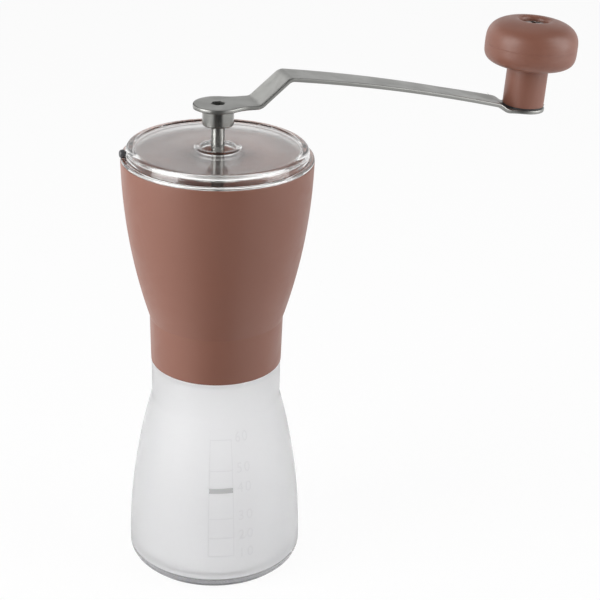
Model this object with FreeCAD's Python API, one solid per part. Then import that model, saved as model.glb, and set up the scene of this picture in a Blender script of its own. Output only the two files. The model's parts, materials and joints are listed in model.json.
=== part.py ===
import FreeCAD, Part
import math
import os

# Hand coffee mill with an hourglass body, in millimetres.
# The shaft's axis is Z, the jar's foot stands on Z = 0 and the crank points along +X.

os.makedirs("parts", exist_ok=True)

Vector = FreeCAD.Vector
ORIGIN = Vector(0, 0, 0)
UP = Vector(0, 0, 1)
ACROSS = Vector(0, 1, 0)

# Fits between pieces
running = 0.05            # radial play of a turning or sliding pin
slip = 0.1                # radial play of a piece that is placed by hand or pressed home
turning_gap = 0.3         # room between moulded pieces that turn past each other
past = 1.0                # how far a cutting shape runs past the face it opens

# Jar that catches the grounds
jar_shoulder_z = 86.2     # top of the outer wall, where the hopper's skirt comes down
jar_max_r = 34.63
jar_flare_r = 253.0       # radius of the long arc of the side wall
jar_upright_z = 3.0       # height at which that arc stands upright
jar_waist_r = 25.2
jar_corner_r = 4.4        # rounding of the bottom corner
jar_wall = 2.0
jar_floor = 3.2
jar_recess = 0.8          # depth of the hollow under the floor
jar_foot_w = 4.0          # width of the ring that stands on the table
jar_neck_h = 14.5
jar_neck_wall = 1.6
jar_lip_round = 0.5

# Hopper shell, the outer moulding
shell_joint = 0.3         # gap between the jar's shoulder and the skirt's edge
shell_h = 81.9
shell_skirt_r = 25.4      # at the skirt's lower edge
shell_crease_r = 25.78    # at the crease, where the skirt meets the flared side
shell_max_r = 35.95
shell_flare_r = 220.0     # radius of the long arc of the side wall
shell_upright = 3.0       # how far above the rim that arc would stand upright
shell_wall = 2.2
skirt_wall = 1.8
thread_h = 0.8            # height of the jar's thread, which the plain neck leaves room for
seal_t = 2.0
shell_ledge_t = 2.2

# Burr housing, the funnel inside the shell
housing_wall = 1.5
shoulder_in = 0.6         # from the skirt's inner face in to the edge of the shoulder
throat_rise = 5.1         # from the shell's ledge up to the seat of the outer burr
throat_lip = 3.4          # how far the throat reaches in over the outer burr
funnel_h = 26.0
funnel_wall = 1.8
hub_h = 14.0
hub_r = 7.0
arm_count = 3
arm_t = 3.2
arm_turn = 90.0           # direction of the first arm, in degrees from the crank
arm_inset_bottom = 2.5    # how much lower the hub ends than its arms
arm_h = 9.0

# Outer burr
stator_h = 14.0
stator_fine_h = 5.0       # height of the fine grinding band
stator_mouth_r = 16.6     # inner radius at the bottom
stator_fine_r = 15.4      # inner radius where the fine band ends
stator_top_r = 13.6
stator_teeth = 24
stator_tooth = 0.8        # depth of a groove
stator_skew = 14.0        # lean of the grooves in degrees
stator_step = 0.7         # rebate for the retainer's tongue
stator_step_h = 4.0

# Retainer that holds the outer burr
retainer_t = 1.8
retainer_bore_r = 17.0
retainer_round = 0.5

# Inner burr
rotor_gap = 0.6           # room between the burrs at the middle setting
rotor_drop = 1.0          # how far it hangs below the outer burr
rotor_h = 18.0
rotor_top_r = 7.6
rotor_teeth = 24
rotor_tooth = 0.8
rotor_skew = -14.0
rotor_blades = 5
rotor_flute_r = 3.6       # radius of the coarse flutes between the breaking blades
rotor_flute_bite = 2.3    # how deep a flute cuts into the cone
rotor_flute_skew = 32.0
rotor_wall = 3.0

# Carrier, washers, spring and grind adjuster under the burr
carrier_r = 5.5
carrier_flange_r = 12.6
carrier_flange_t = 1.5
carrier_rise = 0.5        # how far it stands above the inner burr
adjust_travel = 1.0       # up and down from the middle setting
washer_t = 0.6
washer_r = 5.5
nut_washer_r = 6.5
spring_len = 9.0
spring_mean_r = 4.2
spring_wire = 0.9
spring_turns = 4.5
nut_h = 7.2
nut_r = 9.5
nut_scallops = 8
nut_scallop_r = 2.4
nut_scallop_bite = 1.1
nut_round = 0.4
nut_notches = 12
nut_notch = 0.5
nut_notch_in = 2.4        # from the nut's rim in to the inner end of its notches
insert_flats = 7.0
insert_h = 4.8
thread_r = 2.0
thread_below = 2.5        # how far the shaft's end shows below the nut

# Shaft and its bearings
shaft_r = 2.5
shaft_flats = 4.2
shaft_bevel = 0.4
hex_overlap = 0.4         # how much the shaft's hexagon outreaches the burr's travel
bush_r = 4.5
bush_flange_r = 5.6
bush_flange_t = 1.0
bush_len = 5.0
thrust_t = 0.6
thrust_r = 5.2
clip_t = 0.7
clip_r = 4.6
clip_groove = 0.6
clip_mouth = 3.0          # width of the clip's open side

# Lid
lid_rise = 5.5            # height above the shell's rim
lid_wall = 1.6
lid_flange_t = 1.1
lid_flange_in = 0.1       # how far the flange stays inside the shell's rim
lid_side_in = 1.5         # from the flange's edge in to the side wall
lid_round = 1.9
lid_rim_w = 3.0           # width of the raised border of the top
lid_dish = 0.6            # how far the top lies below that border
lid_spigot_gap = 0.35
lid_spigot_h = 5.5
lid_spigot_wall = 1.7
lid_hole_r = 6.45
lid_boss_wall = 1.5
lid_boss_h = 6.5
lid_bead_r = 8.9          # outer radius of the bead round the hole
lid_bead_rise = 0.5

# Pull of the lid
pull_turn = 171.0
pull_r = 1.6
pull_stem_r = 1.0
pull_up = 2.1             # height of its axis above the flange
pull_reach = 2.2          # how far its head stands out of the side wall

# Crank
collar_lift = 7.3         # height of the collar's foot above the lid
collar_h = 6.6
collar_r = 5.85
collar_bevel = 0.6
shaft_below_top = 2.1     # how far the shaft's end stays below the crank's top face
socket_flats = 4.4
strip_t = 1.5
plate_r = 9.3
plate_waist_w = 13.9
plate_blend = 12.0
bend_x = 14.0             # start of the rise, from the shaft's axis
rise_x = 11.5
rise_z = 9.6
strip_end_w = 12.0
run_sag = 1.45            # how far the long run bows upwards
reach = 125.5             # from the shaft's axis to the knob's foot
pad_drop = 10.2           # how far the knob's foot lies below the plate
pad_r = 8.5
pad_blend = 20.0
pad_tilt = 3.0            # outward lean of the knob in degrees
pad_join = 9.2            # from the knob's foot back to the bend of the pad
pad_bend_r = 3.0
ramp_x = 3.0              # the pad is set down: length and height of the ramp to it
ramp_z = 2.4
ramp_bend_r = 4.0
bend_r = 2.4
bow_share = 0.94          # how much of the run is bowed; its two ends stay straight
strip_round = 0.35

# Knob and its screw, along the knob's own axis
knob_washer_t = 0.5
knob_washer_r = 8.0
knob_r = 17.9
knob_mid_h = 24.2
knob_up = 10.3
knob_up_power = 2.9
knob_down = 8.6
knob_down_power = 4.0
stem_foot_r = 8.1
stem_top_r = 8.05
recess_r = 5.6
recess_h = 3.6
recess_round = 1.6
pin_r = 3.0
pin_head_r = 4.5
pin_head_h = 2.0
pin_head_play = 0.15
pin_end_r = 2.0
pin_rivet_r = 3.1
pin_rivet_h = 0.9
cross_w = 1.0
cross_l = 5.0
cross_h = 1.2

# Levels, counted up from the table
jar_mouth_z = jar_shoulder_z + jar_neck_h
shell_z = jar_shoulder_z + shell_joint
shell_rim_z = shell_z + shell_h
ledge_z = jar_mouth_z + seal_t
seat_z = ledge_z + shell_ledge_t
stator_top_z = seat_z + throat_rise
stator_z = stator_top_z - stator_h
funnel_top_z = stator_top_z + funnel_h
retainer_z = stator_z - retainer_t
rotor_z = stator_z - rotor_drop
rotor_top_z = rotor_z + rotor_h
carrier_z = rotor_z - carrier_flange_t
carrier_top_z = rotor_top_z + carrier_rise
nut_washer_z = carrier_z - washer_t
nut_z = nut_washer_z - nut_h
spring_z = carrier_top_z + washer_t
spring_top_z = spring_z + spring_len
hub_z = spring_top_z + bush_flange_t
hub_top_z = hub_z + hub_h
thrust_z = hub_top_z + bush_flange_t
clip_z = thrust_z + thrust_t
hex_low_z = nut_washer_z + adjust_travel + turning_gap
hex_high_z = carrier_top_z + adjust_travel + hex_overlap
lid_top_z = shell_rim_z + lid_rise
collar_z = lid_top_z + collar_lift
plate_z = collar_z + collar_h
crank_top_z = plate_z + strip_t
shaft_top_z = crank_top_z - shaft_below_top
pad_top_z = crank_top_z - pad_drop

# Radii that follow from the skirt inwards
skirt_r = shell_skirt_r - skirt_wall
neck_r = skirt_r - turning_gap - thread_h
neck_bore_r = neck_r - jar_neck_wall
tube_r = neck_bore_r - turning_gap
pocket_r = tube_r - housing_wall
stator_r = pocket_r - slip
throat_r = pocket_r - throat_lip
shoulder_r = skirt_r - shoulder_in
lip_inset = shell_wall + slip     # from the shell's side in to the funnel's lip


def flare(r_max, arc_r, upright_z, z, inset=0.0):
    """Radius at height z of a side wall that is an arc upright at upright_z."""
    inner_arc = arc_r - inset
    return r_max - arc_r + math.sqrt(inner_arc ** 2 - (z - upright_z) ** 2)


def flare_rise(r_max, arc_r, r, inset=0.0):
    """How far from its upright height such an arc has come in to the radius r."""
    return math.sqrt((arc_r - inset) ** 2 - (r - r_max + arc_r) ** 2)


def shell_at(z, inset=0.0):
    return flare(shell_max_r, shell_flare_r, shell_rim_z + shell_upright, z, inset)


def jar_at(z, inset=0.0):
    return flare(jar_max_r, jar_flare_r, jar_upright_z, z, inset)


def jar_crease_z(r, inset=0.0):
    return jar_upright_z + flare_rise(jar_max_r, jar_flare_r, r, inset)


def bow(radius_at, z0, z1, inset=0.0):
    """Middle point of the arc between two heights, for a corner that starts it."""
    middle = (z0 + z1) / 2
    return (radius_at(middle, inset), middle)


def point(r, z):
    return Vector(r, 0, z)


def profile(corners):
    """Closed wire in the XZ plane.

    A corner is (x, z), (x, z, rounding) or (x, z, 0, middle), where middle is a point
    of the arc that leads on to the next corner.
    """
    count = len(corners)
    starts = []
    ends = []
    arcs = []
    for i in range(count):
        here = corners[i]
        spot = point(here[0], here[1])
        rounding = here[2] if len(here) > 2 else 0
        if rounding:
            before = point(*corners[i - 1][:2]) - spot
            after = point(*corners[(i + 1) % count][:2]) - spot
            before.normalize()
            after.normalize()
            half = before.getAngle(after) / 2
            inwards = (before + after).normalize()
            along = rounding / math.tan(half)
            centre = spot + inwards * (rounding / math.sin(half))
            ends.append(spot + before * along)
            starts.append(spot + after * along)
            arcs.append(centre - inwards * rounding)
        else:
            ends.append(spot)
            starts.append(spot)
            arcs.append(None)
    edges = []
    for i in range(count):
        following = (i + 1) % count
        if arcs[i] is not None:
            edges.append(Part.Arc(ends[i], arcs[i], starts[i]).toShape())
        middle = corners[i][3] if len(corners[i]) > 3 else None
        if middle is not None:
            edges.append(Part.Arc(starts[i], point(*middle), ends[following]).toShape())
        elif starts[i].distanceToPoint(ends[following]) > 1e-6:
            edges.append(Part.makeLine(starts[i], ends[following]))
    return Part.Wire(edges)


def turned(corners):
    """Solid of revolution about Z."""
    return Part.Face(profile(corners)).revolve(ORIGIN, UP, 360)


def disc(r, z, height, bore=0.0):
    body = Part.makeCylinder(r, height, Vector(0, 0, z))
    if bore:
        body = body.cut(Part.makeCylinder(bore, height + 2 * past, Vector(0, 0, z - past)))
    return body


def polygon(corners, z, height):
    """Upright prism on a closed outline in the XY plane."""
    points = [Vector(x, y, z) for x, y in corners]
    return Part.Face(Part.makePolygon(points + [points[0]])).extrude(Vector(0, 0, height))


def hexagon(flats, z, height):
    """Upright hexagonal prism, with a corner on the X axis."""
    corner_r = flats / math.sqrt(3)
    turns = [math.radians(60 * i) for i in range(6)]
    return polygon([(corner_r * math.cos(a), corner_r * math.sin(a)) for a in turns], z, height)


def round_the_axis(shape, count, start=0.0):
    """Copies of a shape at equal turns about Z, as one compound."""
    copies = []
    for i in range(count):
        copy = shape.copy()
        copy.rotate(ORIGIN, UP, start + 360.0 * i / count)
        copies.append(copy)
    return Part.makeCompound(copies)


def groove(r0, z0, r1, z1, depth, width, skew, inward):
    """Three-sided bar along a cone's slant that cuts one V groove.

    It runs from (r0, z0) to (r1, z1), leans by skew degrees about the radius at its
    middle, and bites towards the axis if inward is true, else away from it.
    """
    start = point(r0, z0)
    run = point(r1, z1) - start
    length = run.Length
    run.normalize()
    outwards = ACROSS.cross(run)
    if outwards.x < 0:
        outwards = outwards * -1
    bite = outwards * (-depth if inward else depth)
    proud = outwards * (depth if inward else -depth)
    side = ACROSS * width
    tip = start + bite
    corners = [tip, start + proud + side, start + proud - side]
    bar = Part.Face(Part.makePolygon(corners + [tip])).extrude(run * length)
    middle = start + run * (length / 2)
    bar.rotate(middle, outwards, skew)
    return bar


def jar():
    """Frosted jar with an hourglass side, a plain neck for the thread and a ring foot."""
    crease = jar_crease_z(jar_waist_r)
    inner_r = jar_waist_r - jar_wall
    inner_crease = jar_crease_z(inner_r, jar_wall)
    foot_inner_r = jar_max_r - jar_corner_r - jar_foot_w
    corner_z = jar_corner_r
    corner_r = jar_at(corner_z)
    bend = jar_corner_r * (1 - math.sqrt(0.5))
    floor_z = jar_recess + jar_floor
    inner_corner = jar_corner_r - jar_wall / 2
    inner_corner_r = jar_at(floor_z + inner_corner, jar_wall)
    inner_bend = inner_corner * (1 - math.sqrt(0.5))
    shoulder_in = inner_r - neck_bore_r
    return turned([
        (0, jar_recess),
        (foot_inner_r - jar_recess, jar_recess),
        (foot_inner_r, 0),
        (corner_r - jar_corner_r, 0, 0, (corner_r - bend, bend)),
        (corner_r, corner_z, 0, bow(jar_at, corner_z, crease)),
        (jar_waist_r, crease),
        (jar_waist_r, jar_shoulder_z, jar_lip_round),
        (neck_r, jar_shoulder_z),
        (neck_r, jar_mouth_z, jar_lip_round),
        (neck_bore_r, jar_mouth_z, jar_lip_round),
        (neck_bore_r, jar_shoulder_z),
        (inner_r, jar_shoulder_z - shoulder_in),
        (inner_r, inner_crease, 0, bow(jar_at, inner_crease, floor_z + inner_corner, jar_wall)),
        (inner_corner_r, floor_z + inner_corner, 0,
         (inner_corner_r - inner_bend, floor_z + inner_bend)),
        (inner_corner_r - inner_corner, floor_z),
        (0, floor_z),
    ])


def seal_ring():
    """Soft ring between the jar's mouth and the shell's ledge."""
    return turned([
        (neck_bore_r + slip, jar_mouth_z),
        (skirt_r - turning_gap, jar_mouth_z),
        (skirt_r - turning_gap, ledge_z),
        (neck_bore_r + slip, ledge_z),
    ])


def hopper_shell():
    """Outer moulding: a straight skirt, a flared side and an inner ledge."""
    mouth_r = shell_at(shell_rim_z, shell_wall)
    rise = flare_rise(shell_max_r, shell_flare_r, shell_crease_r)
    crease_z = shell_rim_z + shell_upright - rise
    inner_low_z = max(seat_z + housing_wall, crease_z)
    return turned([
        (skirt_r, shell_z),
        (shell_skirt_r, shell_z),
        (shell_crease_r, crease_z, 0, bow(shell_at, crease_z, shell_rim_z)),
        (shell_at(shell_rim_z), shell_rim_z),
        (mouth_r, shell_rim_z, 0, bow(shell_at, shell_rim_z, inner_low_z, shell_wall)),
        (shell_at(inner_low_z, shell_wall), inner_low_z),
        (shell_crease_r - shell_wall, seat_z),
        (tube_r + slip, seat_z),
        (tube_r + slip, ledge_z),
        (skirt_r, ledge_z),
    ])


def burr_housing():
    """Funnel with a seat for the outer burr, a shoulder and a three-armed bearing hub."""
    lip_r = shell_at(funnel_top_z, lip_inset)
    throat_top_z = stator_top_z + housing_wall
    slope = (lip_r - throat_r) / (funnel_top_z - throat_top_z)
    lip_low_z = funnel_top_z - funnel_wall / slope
    tube_top_z = throat_top_z + (tube_r - throat_r - funnel_wall) / slope
    body = turned([
        (pocket_r, stator_z),
        (tube_r, stator_z),
        (tube_r, seat_z),
        (shoulder_r, seat_z),
        (shoulder_r, seat_z + housing_wall),
        (tube_r, seat_z + housing_wall),
        (tube_r, tube_top_z),
        (shell_at(lip_low_z, lip_inset), lip_low_z, 0,
         bow(shell_at, lip_low_z, funnel_top_z, lip_inset)),
        (lip_r, funnel_top_z),
        (throat_r, throat_top_z),
        (throat_r, stator_top_z),
        (pocket_r, stator_top_z),
    ])
    arm_z = hub_z + arm_inset_bottom
    arm = Part.makeBox(lip_r, arm_t, arm_h, Vector(0, -arm_t / 2, arm_z))
    spider = round_the_axis(arm, arm_count, arm_turn).common(funnel_core())
    spider = spider.fuse(disc(hub_r, hub_z, hub_h)).removeSplitter()
    body = body.fuse(spider)
    body = body.cut(disc(bush_r, hub_z - past, hub_h + 2 * past))
    return body.removeSplitter()


def funnel_core():
    """Space inside the funnel, carried half a wall into it, so the arms end in its wall."""
    bite = funnel_wall / 2
    return turned([
        (0, stator_top_z + housing_wall),
        (throat_r + bite, stator_top_z + housing_wall),
        (shell_at(funnel_top_z - bite, lip_inset), funnel_top_z - bite),
        (shell_at(funnel_top_z, lip_inset), funnel_top_z),
        (0, funnel_top_z),
    ])


def bush(z, facing_up):
    """Flanged bush; its sleeve sits in the hub and its flange faces up or down."""
    flange = disc(bush_flange_r, z, bush_flange_t)
    sleeve_z = z - bush_len if facing_up else z + bush_flange_t
    sleeve = disc(bush_r, sleeve_z, bush_len)
    bore = disc(shaft_r + running, min(z, sleeve_z) - past, bush_len + bush_flange_t + 2 * past)
    return flange.fuse(sleeve).cut(bore).removeSplitter()


def outer_burr():
    """Ceramic ring, widening downwards, with leaning grooves inside."""
    ring = turned([
        (stator_mouth_r, stator_z),
        (stator_r - stator_step, stator_z),
        (stator_r - stator_step, stator_z + stator_step_h),
        (stator_r, stator_z + stator_step_h),
        (stator_r, stator_top_z),
        (stator_top_r, stator_top_z),
        (stator_fine_r, stator_z + stator_fine_h),
    ])
    low_pitch = 2 * math.pi * stator_mouth_r / stator_teeth
    fine = groove(stator_mouth_r, stator_z - past, stator_fine_r, stator_z + stator_fine_h,
                  stator_tooth, low_pitch / 2, stator_skew, False)
    coarse = groove(stator_fine_r, stator_z + stator_fine_h - past, stator_top_r,
                    stator_top_z + past, 2 * stator_tooth, low_pitch, stator_skew, False)
    ring = ring.cut(round_the_axis(fine, stator_teeth))
    return ring.cut(round_the_axis(coarse, stator_teeth // 2))


def burr_retainer():
    """Plastic ring pressed up between the outer burr and the housing's tube."""
    tongue_in = stator_r - stator_step + slip
    return turned([
        (retainer_bore_r, retainer_z),
        (tube_r, retainer_z, retainer_round),
        (tube_r, stator_z),
        (pocket_r, stator_z),
        (pocket_r, stator_z + stator_step_h - slip),
        (tongue_in, stator_z + stator_step_h - slip),
        (tongue_in, stator_z),
        (retainer_bore_r, stator_z),
    ])


def inner_burr():
    """Ceramic cone: fine leaning teeth below and breaking blades above."""
    slope = (stator_mouth_r - stator_fine_r) / stator_fine_h
    low_r = stator_mouth_r - rotor_gap + slope * rotor_drop
    fine_z = stator_z + stator_fine_h
    fine_r = stator_fine_r - rotor_gap
    hollow_r = fine_r - rotor_wall
    roof_z = fine_z + rotor_wall
    cone = turned([
        (carrier_r, rotor_z),
        (carrier_r + rotor_wall / 2, rotor_z),
        (carrier_r + rotor_wall / 2, roof_z),
        (hollow_r - rotor_wall, roof_z),
        (hollow_r, rotor_z),
        (low_r, rotor_z),
        (fine_r, fine_z),
        (rotor_top_r, rotor_top_z),
        (carrier_r, rotor_top_z),
    ])
    pitch = 2 * math.pi * low_r / rotor_teeth
    tooth = groove(low_r, rotor_z - past, fine_r, fine_z + past, rotor_tooth, pitch / 2,
                   rotor_skew, True)
    cone = cone.cut(round_the_axis(tooth, rotor_teeth))
    return cone.cut(round_the_axis(breaking_flute(fine_r, fine_z), rotor_blades))


def breaking_flute(fine_r, fine_z):
    """Leaning bar that cuts the hollow between two breaking blades."""
    start = point(fine_r, fine_z)
    run = point(rotor_top_r, rotor_top_z) - start
    length = run.Length
    run.normalize()
    outwards = ACROSS.cross(run)
    if outwards.x < 0:
        outwards = outwards * -1
    axis_start = start + outwards * (rotor_flute_r - rotor_flute_bite)
    bar = Part.makeCylinder(rotor_flute_r, 2 * length, axis_start, run)
    bar.rotate(axis_start, outwards, rotor_flute_skew)
    return bar


def burr_carrier():
    """Plastic core that carries the inner burr on the shaft's hexagon."""
    body = disc(carrier_r, carrier_z, carrier_top_z - carrier_z)
    body = body.fuse(disc(carrier_flange_r, carrier_z, carrier_flange_t)).removeSplitter()
    socket = hexagon(shaft_flats + 2 * running, carrier_z - past,
                     carrier_top_z - carrier_z + 2 * past)
    return body.cut(socket)


def spring():
    """Open coil between the inner burr and the lower bush."""
    pitch = (spring_len - spring_wire) / spring_turns
    low = spring_z + spring_wire / 2
    quarter = math.pi / 2
    steps = int(round(spring_turns * 4))
    helix = []
    for i in range(2 * steps + 1):
        turn = i * quarter / 2
        helix.append(Vector(spring_mean_r * math.cos(turn), spring_mean_r * math.sin(turn),
                            low + pitch * turn / (2 * math.pi)))
    edges = []
    for i in range(steps):
        edges.append(Part.Arc(helix[2 * i], helix[2 * i + 1], helix[2 * i + 2]).toShape())
    path = Part.Wire(edges)
    tangent = edges[0].tangentAt(edges[0].FirstParameter)
    section = Part.Wire(Part.Circle(helix[0], tangent, spring_wire / 2).toShape())
    coil = path.makePipeShell([section], True, False)
    print("spring: least gap between turns %.2f mm" % coil_gap(pitch))
    return coil


def coil_gap(pitch):
    """Least gap of the coil to itself, measured on points of its centre line."""
    samples = 48
    total = int(samples * spring_turns)
    line = []
    for i in range(total + 1):
        turn = 2 * math.pi * i / samples
        line.append(Vector(spring_mean_r * math.cos(turn), spring_mean_r * math.sin(turn),
                           pitch * i / samples))
    least = pitch
    for i in range(total + 1):
        for j in range(i + samples // 2, total + 1):
            least = min(least, line[i].distanceToPoint(line[j]))
    return least - spring_wire


def adjust_nut():
    """Scalloped grip with click notches on top and a hexagonal seat for its insert."""
    body = turned([
        (0, nut_z),
        (nut_r, nut_z, nut_round),
        (nut_r, nut_washer_z),
        (0, nut_washer_z),
    ])
    scallop_at = nut_r + nut_scallop_r - nut_scallop_bite
    scallop = Part.makeCylinder(nut_scallop_r, nut_h + 2 * past,
                                Vector(scallop_at, 0, nut_z - past))
    body = body.cut(round_the_axis(scallop, nut_scallops))
    top = nut_washer_z
    start = nut_r - nut_notch_in
    notch_outline = Part.makePolygon([
        Vector(start, 0, top - nut_notch),
        Vector(start, nut_notch, top),
        Vector(start, -nut_notch, top),
        Vector(start, 0, top - nut_notch),
    ])
    notch = Part.Face(notch_outline).extrude(Vector(nut_notch_in + past, 0, 0))
    body = body.cut(round_the_axis(notch, nut_notches))
    body = body.cut(hexagon(insert_flats, nut_z - past, insert_h + past))
    return body.cut(disc(thread_r + slip, nut_z, nut_h + past))


def nut_insert():
    """Threaded hexagon in the grip, with a plain bore for the thread."""
    body = hexagon(insert_flats, nut_z, insert_h)
    return body.cut(disc(thread_r + running, nut_z - past, insert_h + 2 * past))


def drive_shaft():
    """Round steel rod with a hexagon for the crank, one for the burr and a threaded end."""
    end_z = nut_z - thread_below
    rod = turned([
        (0, end_z),
        (thread_r, end_z, shaft_bevel),
        (thread_r, hex_low_z),
        (0, hex_low_z),
    ])
    rod = rod.fuse(hexagon(shaft_flats, hex_low_z, hex_high_z - hex_low_z))
    rod = rod.fuse(disc(shaft_r, hex_high_z, collar_z - hex_high_z))
    rod = rod.fuse(hexagon(shaft_flats, collar_z, shaft_top_z - collar_z))
    band = disc(shaft_r + past, clip_z, clip_t, shaft_r - clip_groove)
    return rod.cut(band).removeSplitter()


def retaining_clip():
    """Open steel ring sprung into the shaft's groove."""
    body = disc(clip_r, clip_z, clip_t, shaft_r - clip_groove)
    mouth = Part.makeBox(clip_r + past, clip_mouth, clip_t + 2 * past,
                         Vector(0, -clip_mouth / 2, clip_z - past))
    return body.cut(mouth)


def lid_side_r():
    """Outer radius of the lid's side wall."""
    return shell_at(shell_rim_z) - lid_flange_in - lid_side_in


def lid():
    """Clear lid: a flange on the rim, a rounded border, a dished top and a bossed hole."""
    side_r = lid_side_r()
    flange_r = side_r + lid_side_in
    spigot_r = shell_at(shell_rim_z, shell_wall) - lid_spigot_gap
    flange_z = shell_rim_z + lid_flange_t
    border_r = side_r - lid_rim_w
    dish_z = lid_top_z - lid_dish
    under_z = dish_z - lid_wall
    boss_r = lid_hole_r + lid_boss_wall
    spigot_z = shell_rim_z - lid_spigot_h
    boss_z = under_z - lid_boss_h
    bead_z = dish_z + lid_bead_rise
    return turned([
        (spigot_r, shell_rim_z),
        (flange_r, shell_rim_z),
        (flange_r, flange_z, lid_flange_t / 3),
        (side_r, flange_z, lid_flange_t / 3),
        (side_r, lid_top_z, lid_round),
        (border_r + lid_dish, lid_top_z, lid_dish),
        (border_r, dish_z, lid_dish),
        (lid_bead_r, dish_z),
        (lid_bead_r - lid_bead_rise, bead_z, lid_bead_rise / 2),
        (lid_hole_r, bead_z, lid_boss_wall / 2),
        (lid_hole_r, boss_z),
        (boss_r, boss_z),
        (boss_r, under_z),
        (spigot_r - lid_spigot_wall, under_z, lid_wall),
        (spigot_r - lid_spigot_wall, spigot_z),
        (spigot_r, spigot_z, lid_spigot_wall / 3),
    ]).cut(pull_hole())


def pull_axis(distance):
    """Point at a distance from Z on the axis of the lid's pull."""
    turn = math.radians(pull_turn)
    height = shell_rim_z + lid_flange_t + pull_up
    return Vector(distance * math.cos(turn), distance * math.sin(turn), height)


def pull_bar(r, start, end):
    away = pull_axis(end) - pull_axis(start)
    return Part.makeCylinder(r, away.Length, pull_axis(start), away)


def pull_hole():
    return pull_bar(pull_stem_r, lid_side_r() - lid_wall, lid_side_r() + past)


def lid_pull():
    """Small dark nub pressed through the lid's side wall."""
    side_r = lid_side_r()
    head_len = pull_reach - pull_r
    stem = pull_bar(pull_stem_r, side_r - lid_wall, side_r + past / 2)
    head = pull_bar(pull_r, side_r, side_r + head_len)
    dome = Part.makeSphere(pull_r, pull_axis(side_r + head_len))
    away = pull_axis(side_r + head_len + pull_r) - pull_axis(side_r)
    keep = Part.makeCylinder(2 * pull_r, away.Length, pull_axis(side_r), away)
    head = head.fuse(dome).common(keep)
    return stem.fuse(head).removeSplitter()


def offset_line(line, distance):
    """Open line of points in the XZ plane, moved sideways (down, for a line along +X)."""
    sides = []
    for start, end in zip(line[:-1], line[1:]):
        run = (end - start).normalize()
        sides.append(Vector(run.z, 0, -run.x))
    moved = [line[0] + sides[0] * distance]
    for i in range(1, len(line) - 1):
        bisector = (sides[i - 1] + sides[i]).normalize()
        moved.append(line[i] + bisector * (distance / bisector.dot(sides[i])))
    moved.append(line[-1] + sides[-1] * distance)
    return moved


def strip_side():
    """Side view of the crank's strip: plate, rise, bowed run and pad, as a closed wire."""
    tilt = math.tan(math.radians(pad_tilt))
    rise_top = Vector(bend_x + rise_x, 0, crank_top_z + rise_z)
    join = Vector(reach - pad_join, 0, pad_top_z + pad_join * tilt)
    run_end = join + Vector(-ramp_x, 0, ramp_z)
    chord = run_end - rise_top
    bow_up = Vector(-chord.z, 0, chord.x).normalize() * (2 * run_sag)
    end_x = reach + pad_r + past
    top = [
        Vector(-plate_r - past, 0, crank_top_z),
        Vector(bend_x, 0, crank_top_z),
        rise_top,
        (rise_top + run_end) * 0.5 + bow_up,
        run_end,
        join,
        Vector(end_x, 0, pad_top_z - (end_x - reach) * tilt),
    ]
    bottom = offset_line(top, strip_t)
    half_turn = math.atan(4 * run_sag / chord.Length)
    bow_r = bow_share * chord.Length / 2 / math.tan(half_turn)
    top_rounding = [0, bend_r, bend_r + strip_t, bow_r + strip_t, ramp_bend_r + strip_t,
                    pad_bend_r, 0]
    bottom_rounding = [0, bend_r + strip_t, bend_r, bow_r, ramp_bend_r,
                       pad_bend_r + strip_t, 0]
    corners = [(spot.x, spot.z, r) for spot, r in zip(top, top_rounding)]
    corners += [(spot.x, spot.z, r) for spot, r in zip(bottom, bottom_rounding)][::-1]
    return profile(corners)


def strip_plan():
    """Outline of the strip from above, as a prism through its whole height."""
    low = pad_top_z - reach
    height = 2 * reach
    half_waist = plate_waist_w / 2
    half_end = strip_end_w / 2
    plan = polygon([(0, -half_waist), (bend_x, -half_waist), (reach, -half_end),
                    (reach, half_end), (bend_x, half_waist), (0, half_waist)], low, height)
    plan = plan.fuse(disc(plate_r, low, height))
    plan = plan.fuse(Part.makeCylinder(pad_r, height, Vector(reach, 0, low)))
    plan = plan.removeSplitter()
    waist = [e for e in plan.Edges if upright(e) and 0 < e.CenterOfMass.x < bend_x - past]
    neck = [e for e in plan.Edges if upright(e) and reach - pad_r < e.CenterOfMass.x < reach]
    return plan.makeFillet(plate_blend, waist).makeFillet(pad_blend, neck)


def upright(edge):
    across = edge.BoundBox
    return across.XLength < 1e-6 and across.YLength < 1e-6


def crank_arm():
    """Steel strip with a round plate on the collar and a round pad under the knob."""
    half_w = plate_r + pad_r
    slab = Part.Face(strip_side()).extrude(ACROSS * (2 * half_w))
    slab.translate(ACROSS * -half_w)
    strip = slab.common(strip_plan())
    strip = strip.makeFillet(strip_round, rim_edges(strip))
    strip = strip.cut(hexagon(socket_flats, plate_z - past, strip_t + 2 * past))
    rivet_hole = Part.makeCylinder(pin_end_r, strip_t + 2 * past, Vector(0, 0, -strip_t - past))
    return strip.cut(on_pad(rivet_hole))


def rim_edges(strip):
    """Edges round the top and bottom faces, which run along the strip's sides."""
    rims = []
    for edge in strip.Edges:
        box = edge.BoundBox
        lies_across = box.XLength < strip_t and box.YLength > strip_t
        if not upright(edge) and not lies_across and box.Center.y != 0:
            rims.append(edge)
    return rims


def on_pad(shape):
    """Moves a shape from the knob's own axis, with the pad's top at zero, to its place."""
    placed = shape.copy()
    placed.rotate(ORIGIN, ACROSS, pad_tilt)
    placed.translate(Vector(reach, 0, pad_top_z))
    return placed


def crank_collar():
    """Steel collar welded under the plate, with a hexagonal socket for the shaft."""
    body = turned([
        (0, collar_z),
        (collar_r, collar_z, collar_bevel),
        (collar_r, plate_z),
        (0, plate_z),
    ])
    return body.cut(hexagon(socket_flats, collar_z - past, collar_h + 2 * past))


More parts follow.
